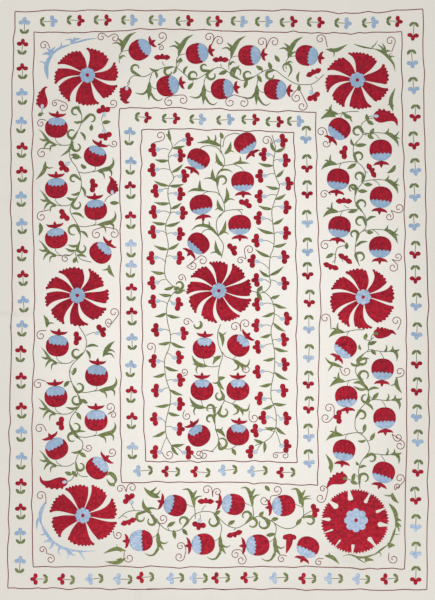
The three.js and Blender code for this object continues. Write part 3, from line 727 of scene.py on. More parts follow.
class Lift:
    """A table of the cloth's height, looked up between its places."""

    def __init__(self):
        x, y = (np.linspace(-half, half, math.ceil(2 * half / LIFT_STEP) + 1) for half in LIFT_HALF)
        self.table = self.raised(x[:, None] + 1j * y[None, :])

    def raised(self, places):
        """The height at each place, with every crease that comes near it."""
        height = np.zeros(places.shape)
        for row in FOLDS.values():
            fold = dict(zip(FOLD_COLUMNS, row))
            start, end = complex(*fold["start"]) * MM, complex(*fold["end"]) * MM
            aside = 1j * (end - start) / abs(end - start)
            middle = (start + end) / 2 + 2 * aside * fold["bow"] * MM
            t = np.linspace(0, 1, FOLD_STEPS + 1)
            line = start * (1 - t) ** 2 + 2 * middle * t * (1 - t) + end * t**2
            reach = max(fold["left"], fold["right"]) * MM
            near = (
                (places.real > line.real.min() - reach) & (places.real < line.real.max() + reach)
                & (places.imag > line.imag.min() - reach) & (places.imag < line.imag.max() + reach)
            )
            height[near] += self.ridge(places[near], line, fold)
        return height

    def ridge(self, places, line, fold):
        """How much one crease raises each place, by how far it is from the crease's line."""
        gap, side, along = np.full(places.shape, np.inf), np.zeros(places.shape), np.zeros(places.shape)
        for i in range(FOLD_STEPS):
            step = line[i + 1] - line[i]
            offset = (places - line[i]) / step
            share = np.clip(offset.real, 0, 1)
            off_line = (offset - share) * abs(step)
            closer = np.abs(off_line) < gap
            gap = np.where(closer, np.abs(off_line), gap)
            side = np.where(closer, np.sign(offset.imag), side)
            along = np.where(closer, (i + share) / FOLD_STEPS, along)
        width = np.where(side > 0, fold["left"], fold["right"]) * MM
        shape = (1 - np.clip(gap / width, 0, 1) ** 2) ** 2
        rise = ease(along / fold["fade_in"]) if fold["fade_in"] else 1.0
        fall = ease((1 - along) / fold["fade_out"]) if fold["fade_out"] else 1.0
        return fold["height"] * MM * shape * rise * fall

    def cells(self, distances, axis):
        """Where distances from the middle lie along one side of the table, in cells."""
        half, last = LIFT_HALF[axis], self.table.shape[axis] - 1
        return np.clip((distances + half) / (2 * half) * last, 0, last - 0.001)

    def at(self, places):
        """The height at each place, blended from the four places of the table around it."""
        x, y = self.cells(places.real, 0), self.cells(places.imag, 1)
        i, j = x.astype(int), y.astype(int)
        u, v = x - i, y - j
        t = self.table
        low = t[i, j] * (1 - u) + t[i + 1, j] * u
        high = t[i, j + 1] * (1 - u) + t[i + 1, j + 1] * u
        return low * (1 - v) + high * v


def ease(share):
    """A step from 0 to 1 that starts and ends gently."""
    share = np.clip(share, 0, 1)
    return share * share * (3 - 2 * share)


# Shader maths


class Wire:
    """An output of a node. A sum written on it adds the Math nodes that work it out."""

    def __init__(self, shader, socket):
        self.shader = shader
        self.socket = socket

    def math(self, operation, first, second=0.0):
        return self.shader.add("ShaderNodeMath", {"operation": operation}, {0: first, 1: second})

    def sine(self):
        return self.math("SINE", self)


OPERATIONS = {
    "add": "ADD", "sub": "SUBTRACT", "mul": "MULTIPLY", "truediv": "DIVIDE", "pow": "POWER",
}


def overload(name, operation):
    """Writes one operator of a wire, and its form for a number on the wire's left."""
    setattr(Wire, f"__{name}__", lambda wire, other: wire.math(operation, wire, other))
    setattr(Wire, f"__r{name}__", lambda wire, other: wire.math(operation, other, wire))


for operator, operation in OPERATIONS.items():
    overload(operator, operation)


class Shader:
    """A material whose nodes are written as sums."""

    def __init__(self, name, **constants):
        self.material = bpy.data.materials.new(name)
        self.material.use_nodes = True
        self.tree = self.material.node_tree
        self.surface = self.tree.nodes["Principled BSDF"]
        for socket, value in constants.items():
            name = socket.replace("_", " ").title().replace("Ior", "IOR")
            self.surface.inputs[name].default_value = value

    def add(self, kind, settings=None, inputs=None, output=0):
        """Adds a node, sets it up, feeds its sockets with values or wires, and gives an output."""
        node = self.tree.nodes.new(kind)
        for key, value in (settings or {}).items():
            setattr(node, key, value)
        for key, value in (inputs or {}).items():
            self.feed(node.inputs[key], value)
        return Wire(self, node.outputs[output])

    def feed(self, socket, value):
        """Links a wire to a socket, or sets the socket to a value."""
        if isinstance(value, Wire):
            self.tree.links.new(value.socket, socket)
        elif hasattr(value, "__len__") and len(value) == 3 and socket.type == "RGBA":
            socket.default_value = (*value, 1.0)
        else:
            socket.default_value = value

    def noise(self, vector, scale, detail=2.0, roughness=0.5):
        sockets = {"Vector": vector, "Scale": scale, "Detail": detail, "Roughness": roughness}
        return self.add("ShaderNodeTexNoise", inputs=sockets, output="Fac")

    def spread(self, value, low, high, to_low=0.0, to_high=1.0):
        """Maps a range of a value onto another, held at both ends."""
        sockets = {"Value": value, "From Min": low, "From Max": high, "To Min": to_low, "To Max": to_high}
        return self.add("ShaderNodeMapRange", {"clamp": True}, sockets)

    def mix(self, factor, first, second):
        """A colour between two others. Sockets 6, 7 and 2 are the node's colours."""
        return self.add("ShaderNodeMix", {"data_type": "RGBA"}, {0: factor, 6: first, 7: second}, 2)

    def vector(self, x, y):
        return self.add("ShaderNodeCombineXYZ", inputs={"X": x, "Y": y})

    def split(self, vector):
        """The first two parts of a vector."""
        parts = self.add("ShaderNodeSeparateXYZ", inputs={0: vector}).socket.node.outputs
        return Wire(self, parts["X"]), Wire(self, parts["Y"])

    def finish(self, colour, height, distance, strength, roughness=None):
        """Gives the surface its colour, its bumps and, where it varies, its roughness."""
        self.feed(self.surface.inputs["Base Color"], colour)
        if roughness is not None:
            self.feed(self.surface.inputs["Roughness"], roughness)
        bump = {"Height": height, "Distance": distance, "Strength": strength}
        self.feed(self.surface.inputs["Normal"], self.add("ShaderNodeBump", inputs=bump))
        return self.material


THREAD_MAP = "thread"
BAKE_MAP = "OFBake"
RIM = "rim"
TURN = 2 * math.pi
STITCH = 0.0042  # metres of one couching stitch along a row
STITCH_SLANT = 0.7
SHADE_BY_HEIGHT = 0.22  # painted shade: how much darker the thread is painted towards the top of the cloth
# painted shade: how much darker the thread is painted towards the sides of the cloth
SHADE_BY_SIDE = 0.5
EDGE_SHADE = 0.5  # how dark the painted shade along the edge of a stitched shape is
SHADE_AND_AGE_FROM = 0.72  # metres from the middle to the sides, where the cloth darkens with yellowing and painted shade
FLOOR_SHADE = 0.94


def thread_material(name, colour, deep, other, streak):
    """Silky thread laid in rows: shades between rows, darker couching and dye lots.

    It is painted darker along the edge of each shape and towards the top and the sides of the
    cloth, as painted shade.
    """
    shader = Shader(name, roughness=0.62, sheen_weight=0.03, specular_ior_level=0.15)
    place = shader.add("ShaderNodeTexCoord", output="Object")
    thread = shader.add("ShaderNodeUVMap", {"uv_map": THREAD_MAP})
    inside = shader.add("ShaderNodeAttribute", {"attribute_name": RIM}, output="Fac")
    along, across = shader.split(thread)
    rows = shader.noise(shader.vector(along * 26.0, across * 330.0), scale=1.0, detail=1.0)
    mottle = shader.noise(place, scale=95.0, detail=3.0, roughness=0.6)
    specks = shader.noise(place, scale=210.0, detail=2.0, roughness=0.6)
    lots = shader.noise(place, scale=3.2, detail=1.0)
    x, y = shader.split(place)
    # random dye lots, plus painted shade that darkens the thread towards the top and the sides
    lot = lots - y * SHADE_BY_HEIGHT - x * x * SHADE_BY_SIDE
    dyed_with_painted_shade = shader.mix(shader.spread(lot, 0.34, 0.58), colour, other)
    shaded = shader.mix(shader.spread(mottle, 0.4, 0.68, to_high=0.65), dyed_with_painted_shade, deep)
    couched = shader.mix(shader.spread(specks, 0.5, 0.68, to_high=0.6), shaded, deep)
    streaked = shader.mix(shader.spread(rows, 0.3, 0.7, to_high=streak), couched, deep)
    # painted shade along the edge of each shape, where the rim value is low
    edge_shaded = shader.mix((1.0 - inside) * EDGE_SHADE, streaked, deep)
    ties = (along * (TURN / STITCH) + across * (TURN / STITCH * STITCH_SLANT)).sine() * 0.5 + 0.5
    height = ties * 0.7 + specks * 0.6
    sheen = shader.spread(mottle, 0.3, 0.7, to_low=0.56, to_high=0.72)
    return shader.finish(edge_shaded, height, distance=0.0006, strength=0.6, roughness=sheen)


def cotton_material(name, sizes):
    """Hand-woven cotton: threads both ways, slubs, and a slight yellowing towards the sides, with painted
    shade that darkens it towards the sides and the top left.
    """
    shader = Shader(name, roughness=0.9, sheen_weight=0.08, sheen_roughness=0.5)
    place = shader.add("ShaderNodeTexCoord", output="Object")
    x, y = shader.split(place)
    pitch = TURN / sizes.weave_pitch
    weave = (x * pitch).sine() * (y * pitch).sine()
    warp = shader.noise(shader.vector(x * 420.0, y * 9.0), scale=1.0)
    weft = shader.noise(shader.vector(x * 9.0, y * 420.0), scale=1.0)
    age = shader.noise(place, scale=2.1, detail=3.0, roughness=0.55)
    # painted shade with some random yellowing: the cloth is painted darker towards its sides, top and left
    far = ((x / SHADE_AND_AGE_FROM) * (x / SHADE_AND_AGE_FROM) + y * y) ** 1.5
    shaded_and_yellowed = shader.spread(far + y * 0.12 - x * 0.12 + (age - 0.5) * 0.4, 0.0, 0.95)
    clean = shader.mix(shaded_and_yellowed, sizes.cotton, sizes.aged_and_shaded_cotton)
    slubs = shader.spread(warp * 0.5 + weft * 0.5, 0.35, 0.65)
    colour = shader.mix(slubs * 0.25, clean, sizes.aged_and_shaded_cotton)
    crumple = shader.noise(place, scale=11.0, detail=3.0, roughness=0.55)
    height = weave * 0.12 + (warp + weft) * 0.35 + crumple * 2.2
    dull = shader.spread(warp, 0.3, 0.7, to_low=0.86, to_high=0.95)
    return shader.finish(colour, height, distance=0.0012, strength=0.55, roughness=dull)


def floor_material(name, colour):
    """A plain pale floor with a faint grain and faint patches."""
    shader = Shader(name, roughness=0.85)
    place = shader.add("ShaderNodeTexCoord", output="Object")
    patches = shader.noise(place, scale=1.4, detail=3.0)
    grain = shader.noise(place, scale=160.0)
    darker = tuple(value * FLOOR_SHADE for value in colour)
    tinted = shader.mix(shader.spread(patches, 0.3, 0.7), colour, darker)
    return shader.finish(tinted, grain, distance=0.0004, strength=0.3)


# Shapes filled with rows of stitches. How wide a shape is at each share of its length, as a
# share of its greatest width:


def leaf_width(share):
    return np.sin(math.pi * share**0.85) ** 0.8


def blade_width(share):
    return np.sin(math.pi * share**0.78) ** 1.05


def cup_width(share):
    return np.clip(1.25 * np.sqrt(np.clip(1 - (1.15 * share - 0.15) ** 2, 0, 1)) * share**0.45, 0, 1)


def round_width(share):
    return np.sqrt(np.clip(1 - (2 * share - 1) ** 2, 0, 1))


def bar_width(share):
    return round_width(share) ** 0.5


def horn_width(share):
    return (1 - share) ** 0.7


def claw_width(share):
    return (1 - share**2.2) ** 0.8


def curl_width(share):
    return np.interp(share, [0, 0.1, 0.32, 0.6, 0.85, 1], [0.3, 0.6, 1, 0.75, 0.5, 0.25])


def bell_width(share):
    return np.interp(share, [0, 0.1, 0.5, 0.8, 1], [0.5, 1, 0.9, 0.5, 0.1])


def bud_width(share):
    """Widest near the foot, and thin at the hooked tip."""
    stations = [0, 0.06, 0.2, 0.36, 0.54, 0.74, 0.9, 1.0]
    return np.interp(share, stations, [0.3, 0.72, 1.0, 0.96, 0.72, 0.4, 0.18, 0.04])


def even_width(share):
    return np.ones_like(share)


FINE_STEP = 0.0022  # metres between two places along a row, where its shape is small
COARSE_STEP = 0.006
STEPS_IN_STROKE = 12  # between those two, a stroke has about this many steps
EDGE = 0.0012  # metres from the end of a shape to its first full stitch
LEAST_HALF_WIDTH = 0.00008
STROKE_SHIFT = (0.013, 0.007)  # how far the thread map moves on, so that no two shapes match
FRUIT_SHIFT = (0.011, 0.003)
NARROW = 4  # a shape with no more columns than this has no painted edge shade
RIM_END = 0.7  # how light the painted edge shade is on the second stitch from an end
DISC_HOLE = 0.02  # share of a disc's radius that its rings leave open
SCROLL_STEP = 30  # degrees between two places of a scroll


class Stitchery:
    """The stitched shapes of one piece, gathered into one mesh."""

    def __init__(self, name, sizes, lift, threads):
        self.name = name
        self.sizes = sizes
        self.lift = lift
        self.threads = threads
        self.order = sorted(threads)
        self.places, self.heights, self.marks, self.rims = [], [], [], []
        self.quads, self.quad_slots = [], []
        self.borders, self.border_slots = [], []
        self.count = 0
        self.layer = 0.0

    def patch(self, thread, grid, along, across, wraps=False):
        """A field of stitches on a grid of places: rows of it run along its first axis."""
        index = self.count + np.arange(grid.size).reshape(grid.shape)
        if wraps:
            here, after = index, np.roll(index, -1, 0)
            rings = [index[::-1, 0], index[:, -1]]
        else:
            here, after = index[:-1], index[1:]
            rings = [np.concatenate([index[0, :], index[1:, -1], index[-1, -2::-1], index[-2:0:-1, 0]])]
        quads = np.stack([here[:, :-1], after[:, :-1], after[:, 1:], here[:, 1:]], -1).reshape(-1, 4)
        first, ahead, _, aside = grid.ravel()[quads.T - self.count]
        faces_up = (np.conj(ahead - first) * (aside - first)).imag.sum() > 0
        if not faces_up:
            quads = quads[:, ::-1]
            rings = [ring[::-1] for ring in rings]
        slot = self.order.index(thread)
        self.places.append(grid.ravel())
        self.heights.append((self.relief(grid, wraps) + self.layer).ravel())
        self.marks.append(np.stack([along.ravel(), across.ravel()], 1))
        self.rims.append(self.rim(grid, wraps).ravel())
        self.quads.append(quads)
        self.quad_slots.append(np.full(len(quads), slot))
        for ring in rings:
            self.borders.append(ring)
            self.border_slots.append(slot)
        self.count += grid.size

    def relief(self, grid, wraps):
        """Height above the cloth: a ridge for each row, sunk at the edges of the shape."""
        steps, columns = grid.shape
        ridge = np.where(np.arange(columns) % 2 == 1, 1.0, 1.0 - self.sizes.groove)
        relief = np.tile(self.sizes.pile * ridge, (steps, 1))
        relief[:, 0] = -self.sizes.sink
        if not wraps:
            relief[:, -1] = -self.sizes.sink
            relief[0, :] = relief[-1, :] = -self.sizes.sink
        return relief

    def rim(self, grid, wraps):
        """How far inside its shape each place is: 0 at the edge, 1 from the second row on. Towards 0 the
        thread is painted darker, as painted edge shade.
        """
        steps, columns = grid.shape
        if columns <= NARROW:
            return np.ones(grid.shape)
        column = np.arange(columns)
        from_edge = column if wraps else np.minimum(column, column[::-1])
        rim = np.tile(np.clip(from_edge / 2, 0, 1), (steps, 1))
        if not wraps:
            rim[[0, -1]] = 0
            rim[[1, -2]] *= RIM_END
        return rim

    def stroke(self, thread, points, width, shape=even_width, step=None):
        """A run of rows along a line, as wide as its shape says at each share of its length."""
        line = smooth_line(list(points)) if len(points) > 2 else np.array(points, complex)
        length = run_of(line)[-1]
        step = step or min(COARSE_STEP, max(FINE_STEP, length / STEPS_IN_STROKE))
        shares = shares_for(length, step, EDGE)
        middle = resample(line, shares)
        turn = np.gradient(middle)
        turn /= np.maximum(np.abs(turn), 1e-9)
        half = np.maximum(shape(shares) * width / 2, LEAST_HALF_WIDTH)
        rows = max(1, int(round(width / self.sizes.row_width)))
        offsets = np.linspace(-1, 1, 2 * rows + 1)[None, :] * half[:, None]
        grid = middle[:, None] + 1j * turn[:, None] * offsets
        along = np.repeat((shares * length)[:, None], grid.shape[1], 1)
        shift_along, shift_across = STROKE_SHIFT
        self.patch(thread, grid, along + self.count * shift_along, offsets + self.count * shift_across)

    def stem(self, points, share=1.0):
        """A line of stem thread, as wide as a share of a vine."""
        self.stroke("stem", points, self.sizes.stem_width * share)

    def lobe(self, thread, place, way, half_length, width, shape=round_width):
        """A short stroke about its middle, along a direction. Its sizes are in squares."""
        reach = way * squares(half_length)
        self.stroke(thread, [place - reach, place, place + reach], squares(width), shape)

    def disc(self, thread, centre, radius_at, angles):
        """A field of rings of stitches inside an outline given by its radius at each angle."""
        around = np.linspace(0, TURN, angles, endpoint=False)
        outline = radius_at(around)
        rings = max(1, int(round(outline.max() / self.sizes.row_width)))
        inward = np.linspace(1, DISC_HOLE, 2 * rings + 1)
        grid = centre + outline[:, None] * inward[None, :] * np.exp(1j * around)[:, None]
        along = np.repeat((around * outline.mean())[:, None], grid.shape[1], 1)
        across = outline.mean() * inward[None, :] + 0 * along
        self.patch(thread, grid, along, across, wraps=True)

    def spot(self, thread, centre, radius):
        """A small round field of stitches."""
        self.disc(thread, centre, lambda angle: np.full(angle.shape, radius), angles=16)

    def lens(self, thread, foot, tip, width, bow=0.0, shape=leaf_width):
        """A leaf-shaped field from its foot to its tip, bowed to its left."""
        middle = (foot + tip) / 2 + 1j * (tip - foot) * bow
        self.stroke(thread, (foot, middle, tip), width, shape)

    def scroll(self, centre, radius, start, sweep, tighten):
        """The places along a spiral, from its outside in."""
        share = np.linspace(0, 1, max(6, int(abs(sweep) / SCROLL_STEP)))
        reach = radius * (1 - (1 - tighten) * share)
        return list(centre + reach * np.exp(1j * np.radians(start + sweep * share)))

    def make(self):
        """Turns what has been stitched into a piece of its own, which rides on the cloth."""
        places = np.concatenate(self.places)
        height = np.concatenate(self.heights) + self.lift.at(places) + self.sizes.cloth_thickness
        quads, borders = np.concatenate(self.quads), self.borders
        mesh = bpy.data.meshes.new(self.name)
        ends = np.array([len(ring) for ring in borders])
        loops = np.concatenate([quads.ravel(), *borders])
        totals = np.concatenate([np.full(len(quads), 4), ends])
        mesh.vertices.add(len(places))
        mesh.vertices.foreach_set("co", np.stack([places.real, places.imag, height], 1).ravel())
        mesh.loops.add(len(loops))
        mesh.loops.foreach_set("vertex_index", loops)
        mesh.polygons.add(len(totals))
        mesh.polygons.foreach_set("loop_start", np.concatenate([[0], np.cumsum(totals)[:-1]]))
        slots = np.concatenate([*self.quad_slots, self.border_slots])
        mesh.polygons.foreach_set("material_index", slots)
        mesh.polygons.foreach_set("use_smooth", np.ones(len(totals), bool))
        mesh.update(calc_edges=True)
        marks = np.concatenate(self.marks)[loops]
        write_map(mesh, THREAD_MAP, marks)
        write_map(mesh, BAKE_MAP, seen_from_above(places[loops]))
        rim = mesh.attributes.new(RIM, "FLOAT", "POINT")
        rim.data.foreach_set("value", np.concatenate(self.rims).astype(np.float32))
        for thread in self.order:
            mesh.materials.append(self.threads[thread])
        return add_piece(self.name, mesh)


MAP_MARGIN = 1.01  # the map reaches a little past the cloth


def seen_from_above(places):
    """Where each place lies on a map of the whole cloth, from 0 to 1."""
    half = complex(max(SIDES["left"]), SIDES["top"][-1]) * MM * MAP_MARGIN
    return np.stack([places.real / half.real, places.imag / half.imag], 1) / 2 + 0.5


def write_map(mesh, name, marks):
    """Writes a map of the mesh: a place on it for every corner of its faces."""
    layer = mesh.uv_layers.new(name=name, do_init=False)
    layer.uv.foreach_set("vector", marks.astype(np.float32).ravel())


def add_piece(name, mesh):
    """Adds a piece that rides on the cloth's body and is made of its material."""
    piece = bpy.data.objects.new(name, mesh)
    bpy.context.scene.collection.objects.link(piece)
    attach(piece, BODY)
    return piece


# Motifs. Their sizes are in squares, and those of a motif's parts are measured from its middle.

EYE_LOBES = 8
ROSETTE_EYE = (8.1, 0.16, 2.0)  # its radius, its notches as a share of that, and its dot
WHEEL_EYE = (12.2, 0.2, 2.1)
EYE_LIFT = 0.45  # of the thread's height, for each layer on top of another
EYE_SHARE = 0.24  # of a rosette's reach, inside the gaps between its petals
GAP_BOW = 3.2  # degrees that a gap bows back
GAP_FOOT = 0.35  # half the width of a gap at the eye
PETAL_FOOT = 6.8
PETAL_STEPS = (0.006, 0.0016)  # metres between stitches, and from the rim to the first
PETAL_RIM = 0.985  # as a share of the rosette's reach, as are the next three
PETAL_CUT = 0.1  # how far one corner of a petal is cut back
PETAL_LIP = 0.03  # how far the other one juts out
SCALLOP_DEPTH = 0.055
SCALLOP = 3.5  # from one scallop of a petal's rim to the next
WHEEL_CORE = 20  # the wheel's rows start this far out
WHEEL_TOOTH = 3.3  # from one tooth of its rim to the next


def frame_at(centre, way, hand=1):
    """Gives a function for places near a motif: squares to its left, and squares ahead.

    A hand of -1 counts the first to its right.
    """
    aside = 1j * way * hand
    return lambda u, v: centre + squares(u) * aside + squares(v) * way


def gap_side(gap, share, reach):
    """Middle and half width, in degrees, of a gap between petals at each share of the way out."""
    start, end, width = gap
    middle = start + (end - start) * share**1.7 - GAP_BOW * np.sin(math.pi * share**0.9)
    foot, rim = squares(GAP_FOOT), math.radians(width) * reach / 2
    half = foot + (rim - foot) * np.clip(share / 0.85, 0, 1) ** 1.2
    return middle, np.degrees(half / (reach * (EYE_SHARE + (1 - EYE_SHARE) * share)))


def petal(work, middle, reach, eye, low_gap, high_gap):
    """A petal between two gaps: a scalloped rim that is cut back on one side."""
    wide = (reach.real + reach.imag) / 2
    span = high_gap[1] - low_gap[1] - (low_gap[2] + high_gap[2]) / 2
    rim_length = math.radians(span) * wide
    rows = int(round(rim_length / work.sizes.row_width))
    scallops = int(round(rim_length / squares(SCALLOP)))
    share = shares_for((1 - EYE_SHARE) * wide, *PETAL_STEPS)[:, None]
    side = np.linspace(0, 1, 2 * rows + 1)[None, :]
    low, low_half = gap_side(low_gap, share, wide)
    high, high_half = gap_side(high_gap, share, wide)
    low = low + low_half
    high = high - high_half * (1 - 0.7 * share**6)
    angle = np.radians(low + (high - low) * side)
    out = np.cos(angle) + 1j * np.sin(angle)
    bumps = np.abs(np.sin(math.pi * scallops * side + 0.5 * np.sin(9 * side)))
    rim = PETAL_RIM - PETAL_CUT * (1 - side) ** 5 + PETAL_LIP * side**8 + SCALLOP_DEPTH * (bumps - 0.5)
    far = middle + rim * (reach.real * out.real + 1j * reach.imag * out.imag)
    near = eye + squares(PETAL_FOOT) * out
    along = share * (1 - EYE_SHARE) * wide + 0 * side
    across = (side - 0.5) * rim_length + low_gap[0] + 0 * share
    work.patch("red", near + (far - near) * share, along, across)


def rosette(work, place, reach, eye, gaps):
    """A whirling flower: a petal between each two gaps, and a lobed eye."""
    middle, reach, eye = chart(*place), complex(*reach) * SQUARE, chart(*eye)
    start, end, width = gaps[0]
    for low, high in zip(gaps, gaps[1:] + ((start + 360, end + 360, width),)):
        petal(work, middle, reach, eye, low, high)
    flower_eye(work, eye, *ROSETTE_EYE)


def flower_eye(work, eye, radius, notch, dot):
    """The blue lobed eye of a rosette and the red dot in it, on top of the petals' feet."""

    def lobes(angle):
        return squares(radius) * (1 - notch + notch * np.abs(np.cos(angle * EYE_LOBES / 2)) ** 0.7)

    work.layer = work.sizes.pile * EYE_LIFT
    work.disc("blue", eye, lobes, angles=96)
    work.layer *= 2
    work.spot("red", eye, squares(dot))
    work.layer = 0.0


def slot_half(slot, radius):
    """Half the width of a slot at each distance from the wheel's middle."""
    _, start, width = slot
    round_end = np.clip((radius - start) / (width / 2), 0, 1)
    narrowing = 1 - 0.5 * np.clip((radius - start - width / 2) / 5, 0, 1)
    return width / 2 * np.sqrt(1 - (1 - round_end) ** 2) * narrowing


def wheel(work, place, reach, eye, slots):
    """A rosette that is one piece, with slots cut in from its toothed rim."""
    middle, wide = chart(*place), sum(reach) / 2
    stretch = complex(*reach) / wide
    ahead = slots[1:] + ((slots[0][0] + 360, *slots[0][1:]),)
    for low_slot, high_slot in zip(slots, ahead):
        rim_length = math.radians(high_slot[0] - low_slot[0]) * wide
        rows = int(round(squares(rim_length) / work.sizes.row_width))
        teeth = int(round(rim_length / WHEEL_TOOTH))
        share = shares_for(squares(wide - WHEEL_CORE), FINE_STEP, EDGE)[:, None]
        side = np.linspace(0, 1, 2 * rows + 1)[None, :]
        radius = WHEEL_CORE + (wide - WHEEL_CORE) * share
        low = low_slot[0] + np.degrees(slot_half(low_slot, radius) / radius)
        high = high_slot[0] - np.degrees(slot_half(high_slot, radius) / radius)
        angle = np.radians(low + (high - low) * side)
        tooth = np.abs((side * teeth) % 1 * 2 - 1)
        radius = radius * (1 + (0.07 * tooth - 0.03) * share**4)
        spread = squares(radius) * (stretch.real * np.cos(angle) + 1j * stretch.imag * np.sin(angle))
        across = (side - 0.5) * squares(rim_length) + low_slot[0] + 0 * share
        work.patch("red", middle + spread, squares(radius) + 0 * side, across)
    directions, starts, _ = zip(*slots)

    def hub(angle):
        return squares(np.interp(np.degrees(angle), directions, starts, period=360))

    work.disc("red", middle, hub, angles=72)
    flower_eye(work, chart(*eye), *WHEEL_EYE)


ROUNDNESS = 2.2  # power of a fruit's outline: 2 would be an ellipse
UNDER_CAP = 0.7  # how far the red goes on under the edge of the cap
CAP_LIFT = 0.3  # of the thread's height
COLUMN_SHARES = (0, 0.08, 0.25, 0.42, 0.58, 0.75, 0.92, 1)  # where a column has its stitches
HORN = ((0.35, 2.2), (0.72, 2.9), (1, 4.6))  # a crown's horn: shares of its reach, and height
HORN_FOOT = (-0.6, 1.6)
HORN_WIDTH = 4.0
SPIKE = (0.2, 3.7, 7.2)  # heights of the point between the horns
SPIKE_WIDTH = 5.4
CROWN_HEART = (4.4, 1.7)  # its height and radius
BLADE_WIDTH = 0.86  # of the width that a twig's leaf is given
THIN = 0.8  # width of a thin stem, as a share of a vine's


def round_outline(u, across, along):
    return along * np.clip(1 - np.abs(u / across) ** ROUNDNESS, 0, 1) ** 0.455


def cap_edge(u, across, edge, bend, power):
    """Where the cap's zigzag edge lies across the fruit."""
    saw = np.abs((u / across * CAP_TEETH / 2 + 0.5) % 1 * 2 - 1)
    return edge + bend * np.abs(u / across) ** power + CAP_TOOTH * (saw - 0.5)


def columns_patch(work, thread, at, low, high, u):
    """A field of stitches between a lower and an upper edge, in columns across the fruit."""
    v = low[None, :] + (high - low)[None, :] * np.array(COLUMN_SHARES)[:, None]
    u = u[None, :] + 0 * v
    shift_along, shift_across = FRUIT_SHIFT
    along, across = squares(v) + work.count * shift_along, squares(u) + work.count * shift_across
    work.patch(thread, at(u, v), along, across)


def pomegranate(work, place, way, reach, cap, horns):
    """A fruit with its blue cap and its red crown, pointing the way of its heading."""
    across, along = reach
    at = frame_at(place, heading(way), hand=-1)
    rows = int(round(squares(2 * across) / work.sizes.row_width))
    u = np.linspace(-1, 1, 2 * rows + 1)
    u = across * np.sign(u) * (1 - (1 - np.abs(u)) ** 1.15)
    outline, zigzag = round_outline(u, *reach), cap_edge(u, across, *cap)
    top = np.maximum(np.minimum(outline, zigzag + UNDER_CAP), 0.01 - outline)
    columns_patch(work, "red", at, -outline, top, u)
    inside = u[outline > zigzag + 0.15]
    cap_u = np.linspace(inside[0], inside[-1], 2 * (len(inside) // 2) + 1)
    cap_top = round_outline(cap_u, *reach)
    cap_low = np.minimum(cap_edge(cap_u, across, *cap), cap_top)
    work.layer = work.sizes.pile * CAP_LIFT
    columns_patch(work, "blue", at, cap_low, cap_top, cap_u)
    work.layer = 0.0
    crown(work, lambda u, v: at(u, v + along), horns)


def crown(work, at, reach):
    """Two horns and a point between them, at the top of the cap."""
    for side in (-1, 1):
        foot = at(HORN_FOOT[0] * side, HORN_FOOT[1])
        horn = [at(share * reach * side, height) for share, height in HORN]
        work.stroke("red", [foot, *horn], squares(HORN_WIDTH), claw_width)
    work.stroke("red", [at(0, height) for height in SPIKE], squares(SPIKE_WIDTH), horn_width)
    work.spot("red", at(0, CROWN_HEART[0]), squares(CROWN_HEART[1]))


def twig(work, place, way, out, form):
    """The twig that a pomegranate hangs on, and the lobed leaf at its end that hugs it."""
    line, stalk, ((width, blade), *lobes) = LEAF_FORMS[form]
    sway = 1 + 0.05 * math.sin(place.real * 61 + place.imag * 47)
    at = frame_at(place, heading(way), out)

    def run(places):
        return [at(u * sway, v) for u, v in places]

    work.stem(run(line))
    work.stem(run(stalk), THIN)
    work.stroke("green", run(blade), squares(BLADE_WIDTH * width), blade_width)
    for width, lobe in lobes:
        work.stroke("green", run(lobe), squares(width), horn_width)


FLORET_LEAN = 6  # degrees that a floret of the field leans this way or that
FLORET_STEM = {"field": 5.6, "band": 4.0}  # where its stem ends, behind its middle
STEM_ARCH = 1.2  # how high a floret's stem arches in the field
STEM_BOW = 0.1  # how far it bows in the bands, as a share of its length
TICK_WIDTH = 3.0
TICK_BOW = 0.14


def floret(work, x, y, way, cup=True):
    """Three round lobes, with a pale cup on the stem's side."""
    at, way = frame_at(chart(x, y), heading(way)), heading(way)
    for side in (-1, 1):
        work.lobe("red", at(3.9 * side, -0.3), 1j * way * side, half_length=3.2, width=5.8)
    work.lobe("red", at(0, 2.6), way, half_length=2.7, width=4.8)
    work.layer = work.sizes.pile * CAP_LIFT
    work.spot("red", at(0, 0), squares(2.5))
    if cup:
        work.lobe("pale", at(0, -4.7), way, half_length=2.5, width=4.6, shape=cup_width)
    work.layer = 0.0


def bar_floret(work, x, y, way):
    """A floret seen from the side: a bar of red with a small peak."""
    at, way = frame_at(chart(x, y), heading(way)), heading(way)
    work.lobe("red", at(0, 0), 1j * way, half_length=8.2, width=4.2, shape=bar_width)
    for side in (-1, 1):
        work.lobe("red", at(4.4 * side, 0), 1j * way, half_length=3.0, width=5.6)
    work.lobe("red", at(0, 1.6), way, half_length=2.2, width=4.0)


def sprig(work, place, way, thread, stem):
    """A border sprig: a three-lobed flower, its stem and a pair of leaves."""
    at, way = frame_at(place, heading(way)), heading(way)
    work.stroke("stem", [at(0, -1), at(0, -stem)], squares(0.9))
    for side in (-1, 1):
        foot, tip = at(0.3 * side, -stem - 0.3), at(4.4 * side, 4.2 - stem)
        work.lens("green", foot, tip, squares(3.2), 0.04 * side, round_width)
        work.lobe(thread, at(3.2 * side, -0.6), 1j * way * side, half_length=2.7, width=4.5)
    work.lobe(thread, at(0, 2.0), way, half_length=2.9, width=4.3)


KNOBS = (0.2, 0.36, 0.5, 0.63)  # where a bud has knobs, as shares of its length


def lean_between(near, ahead):
    return (ahead - near) / abs(ahead - near)


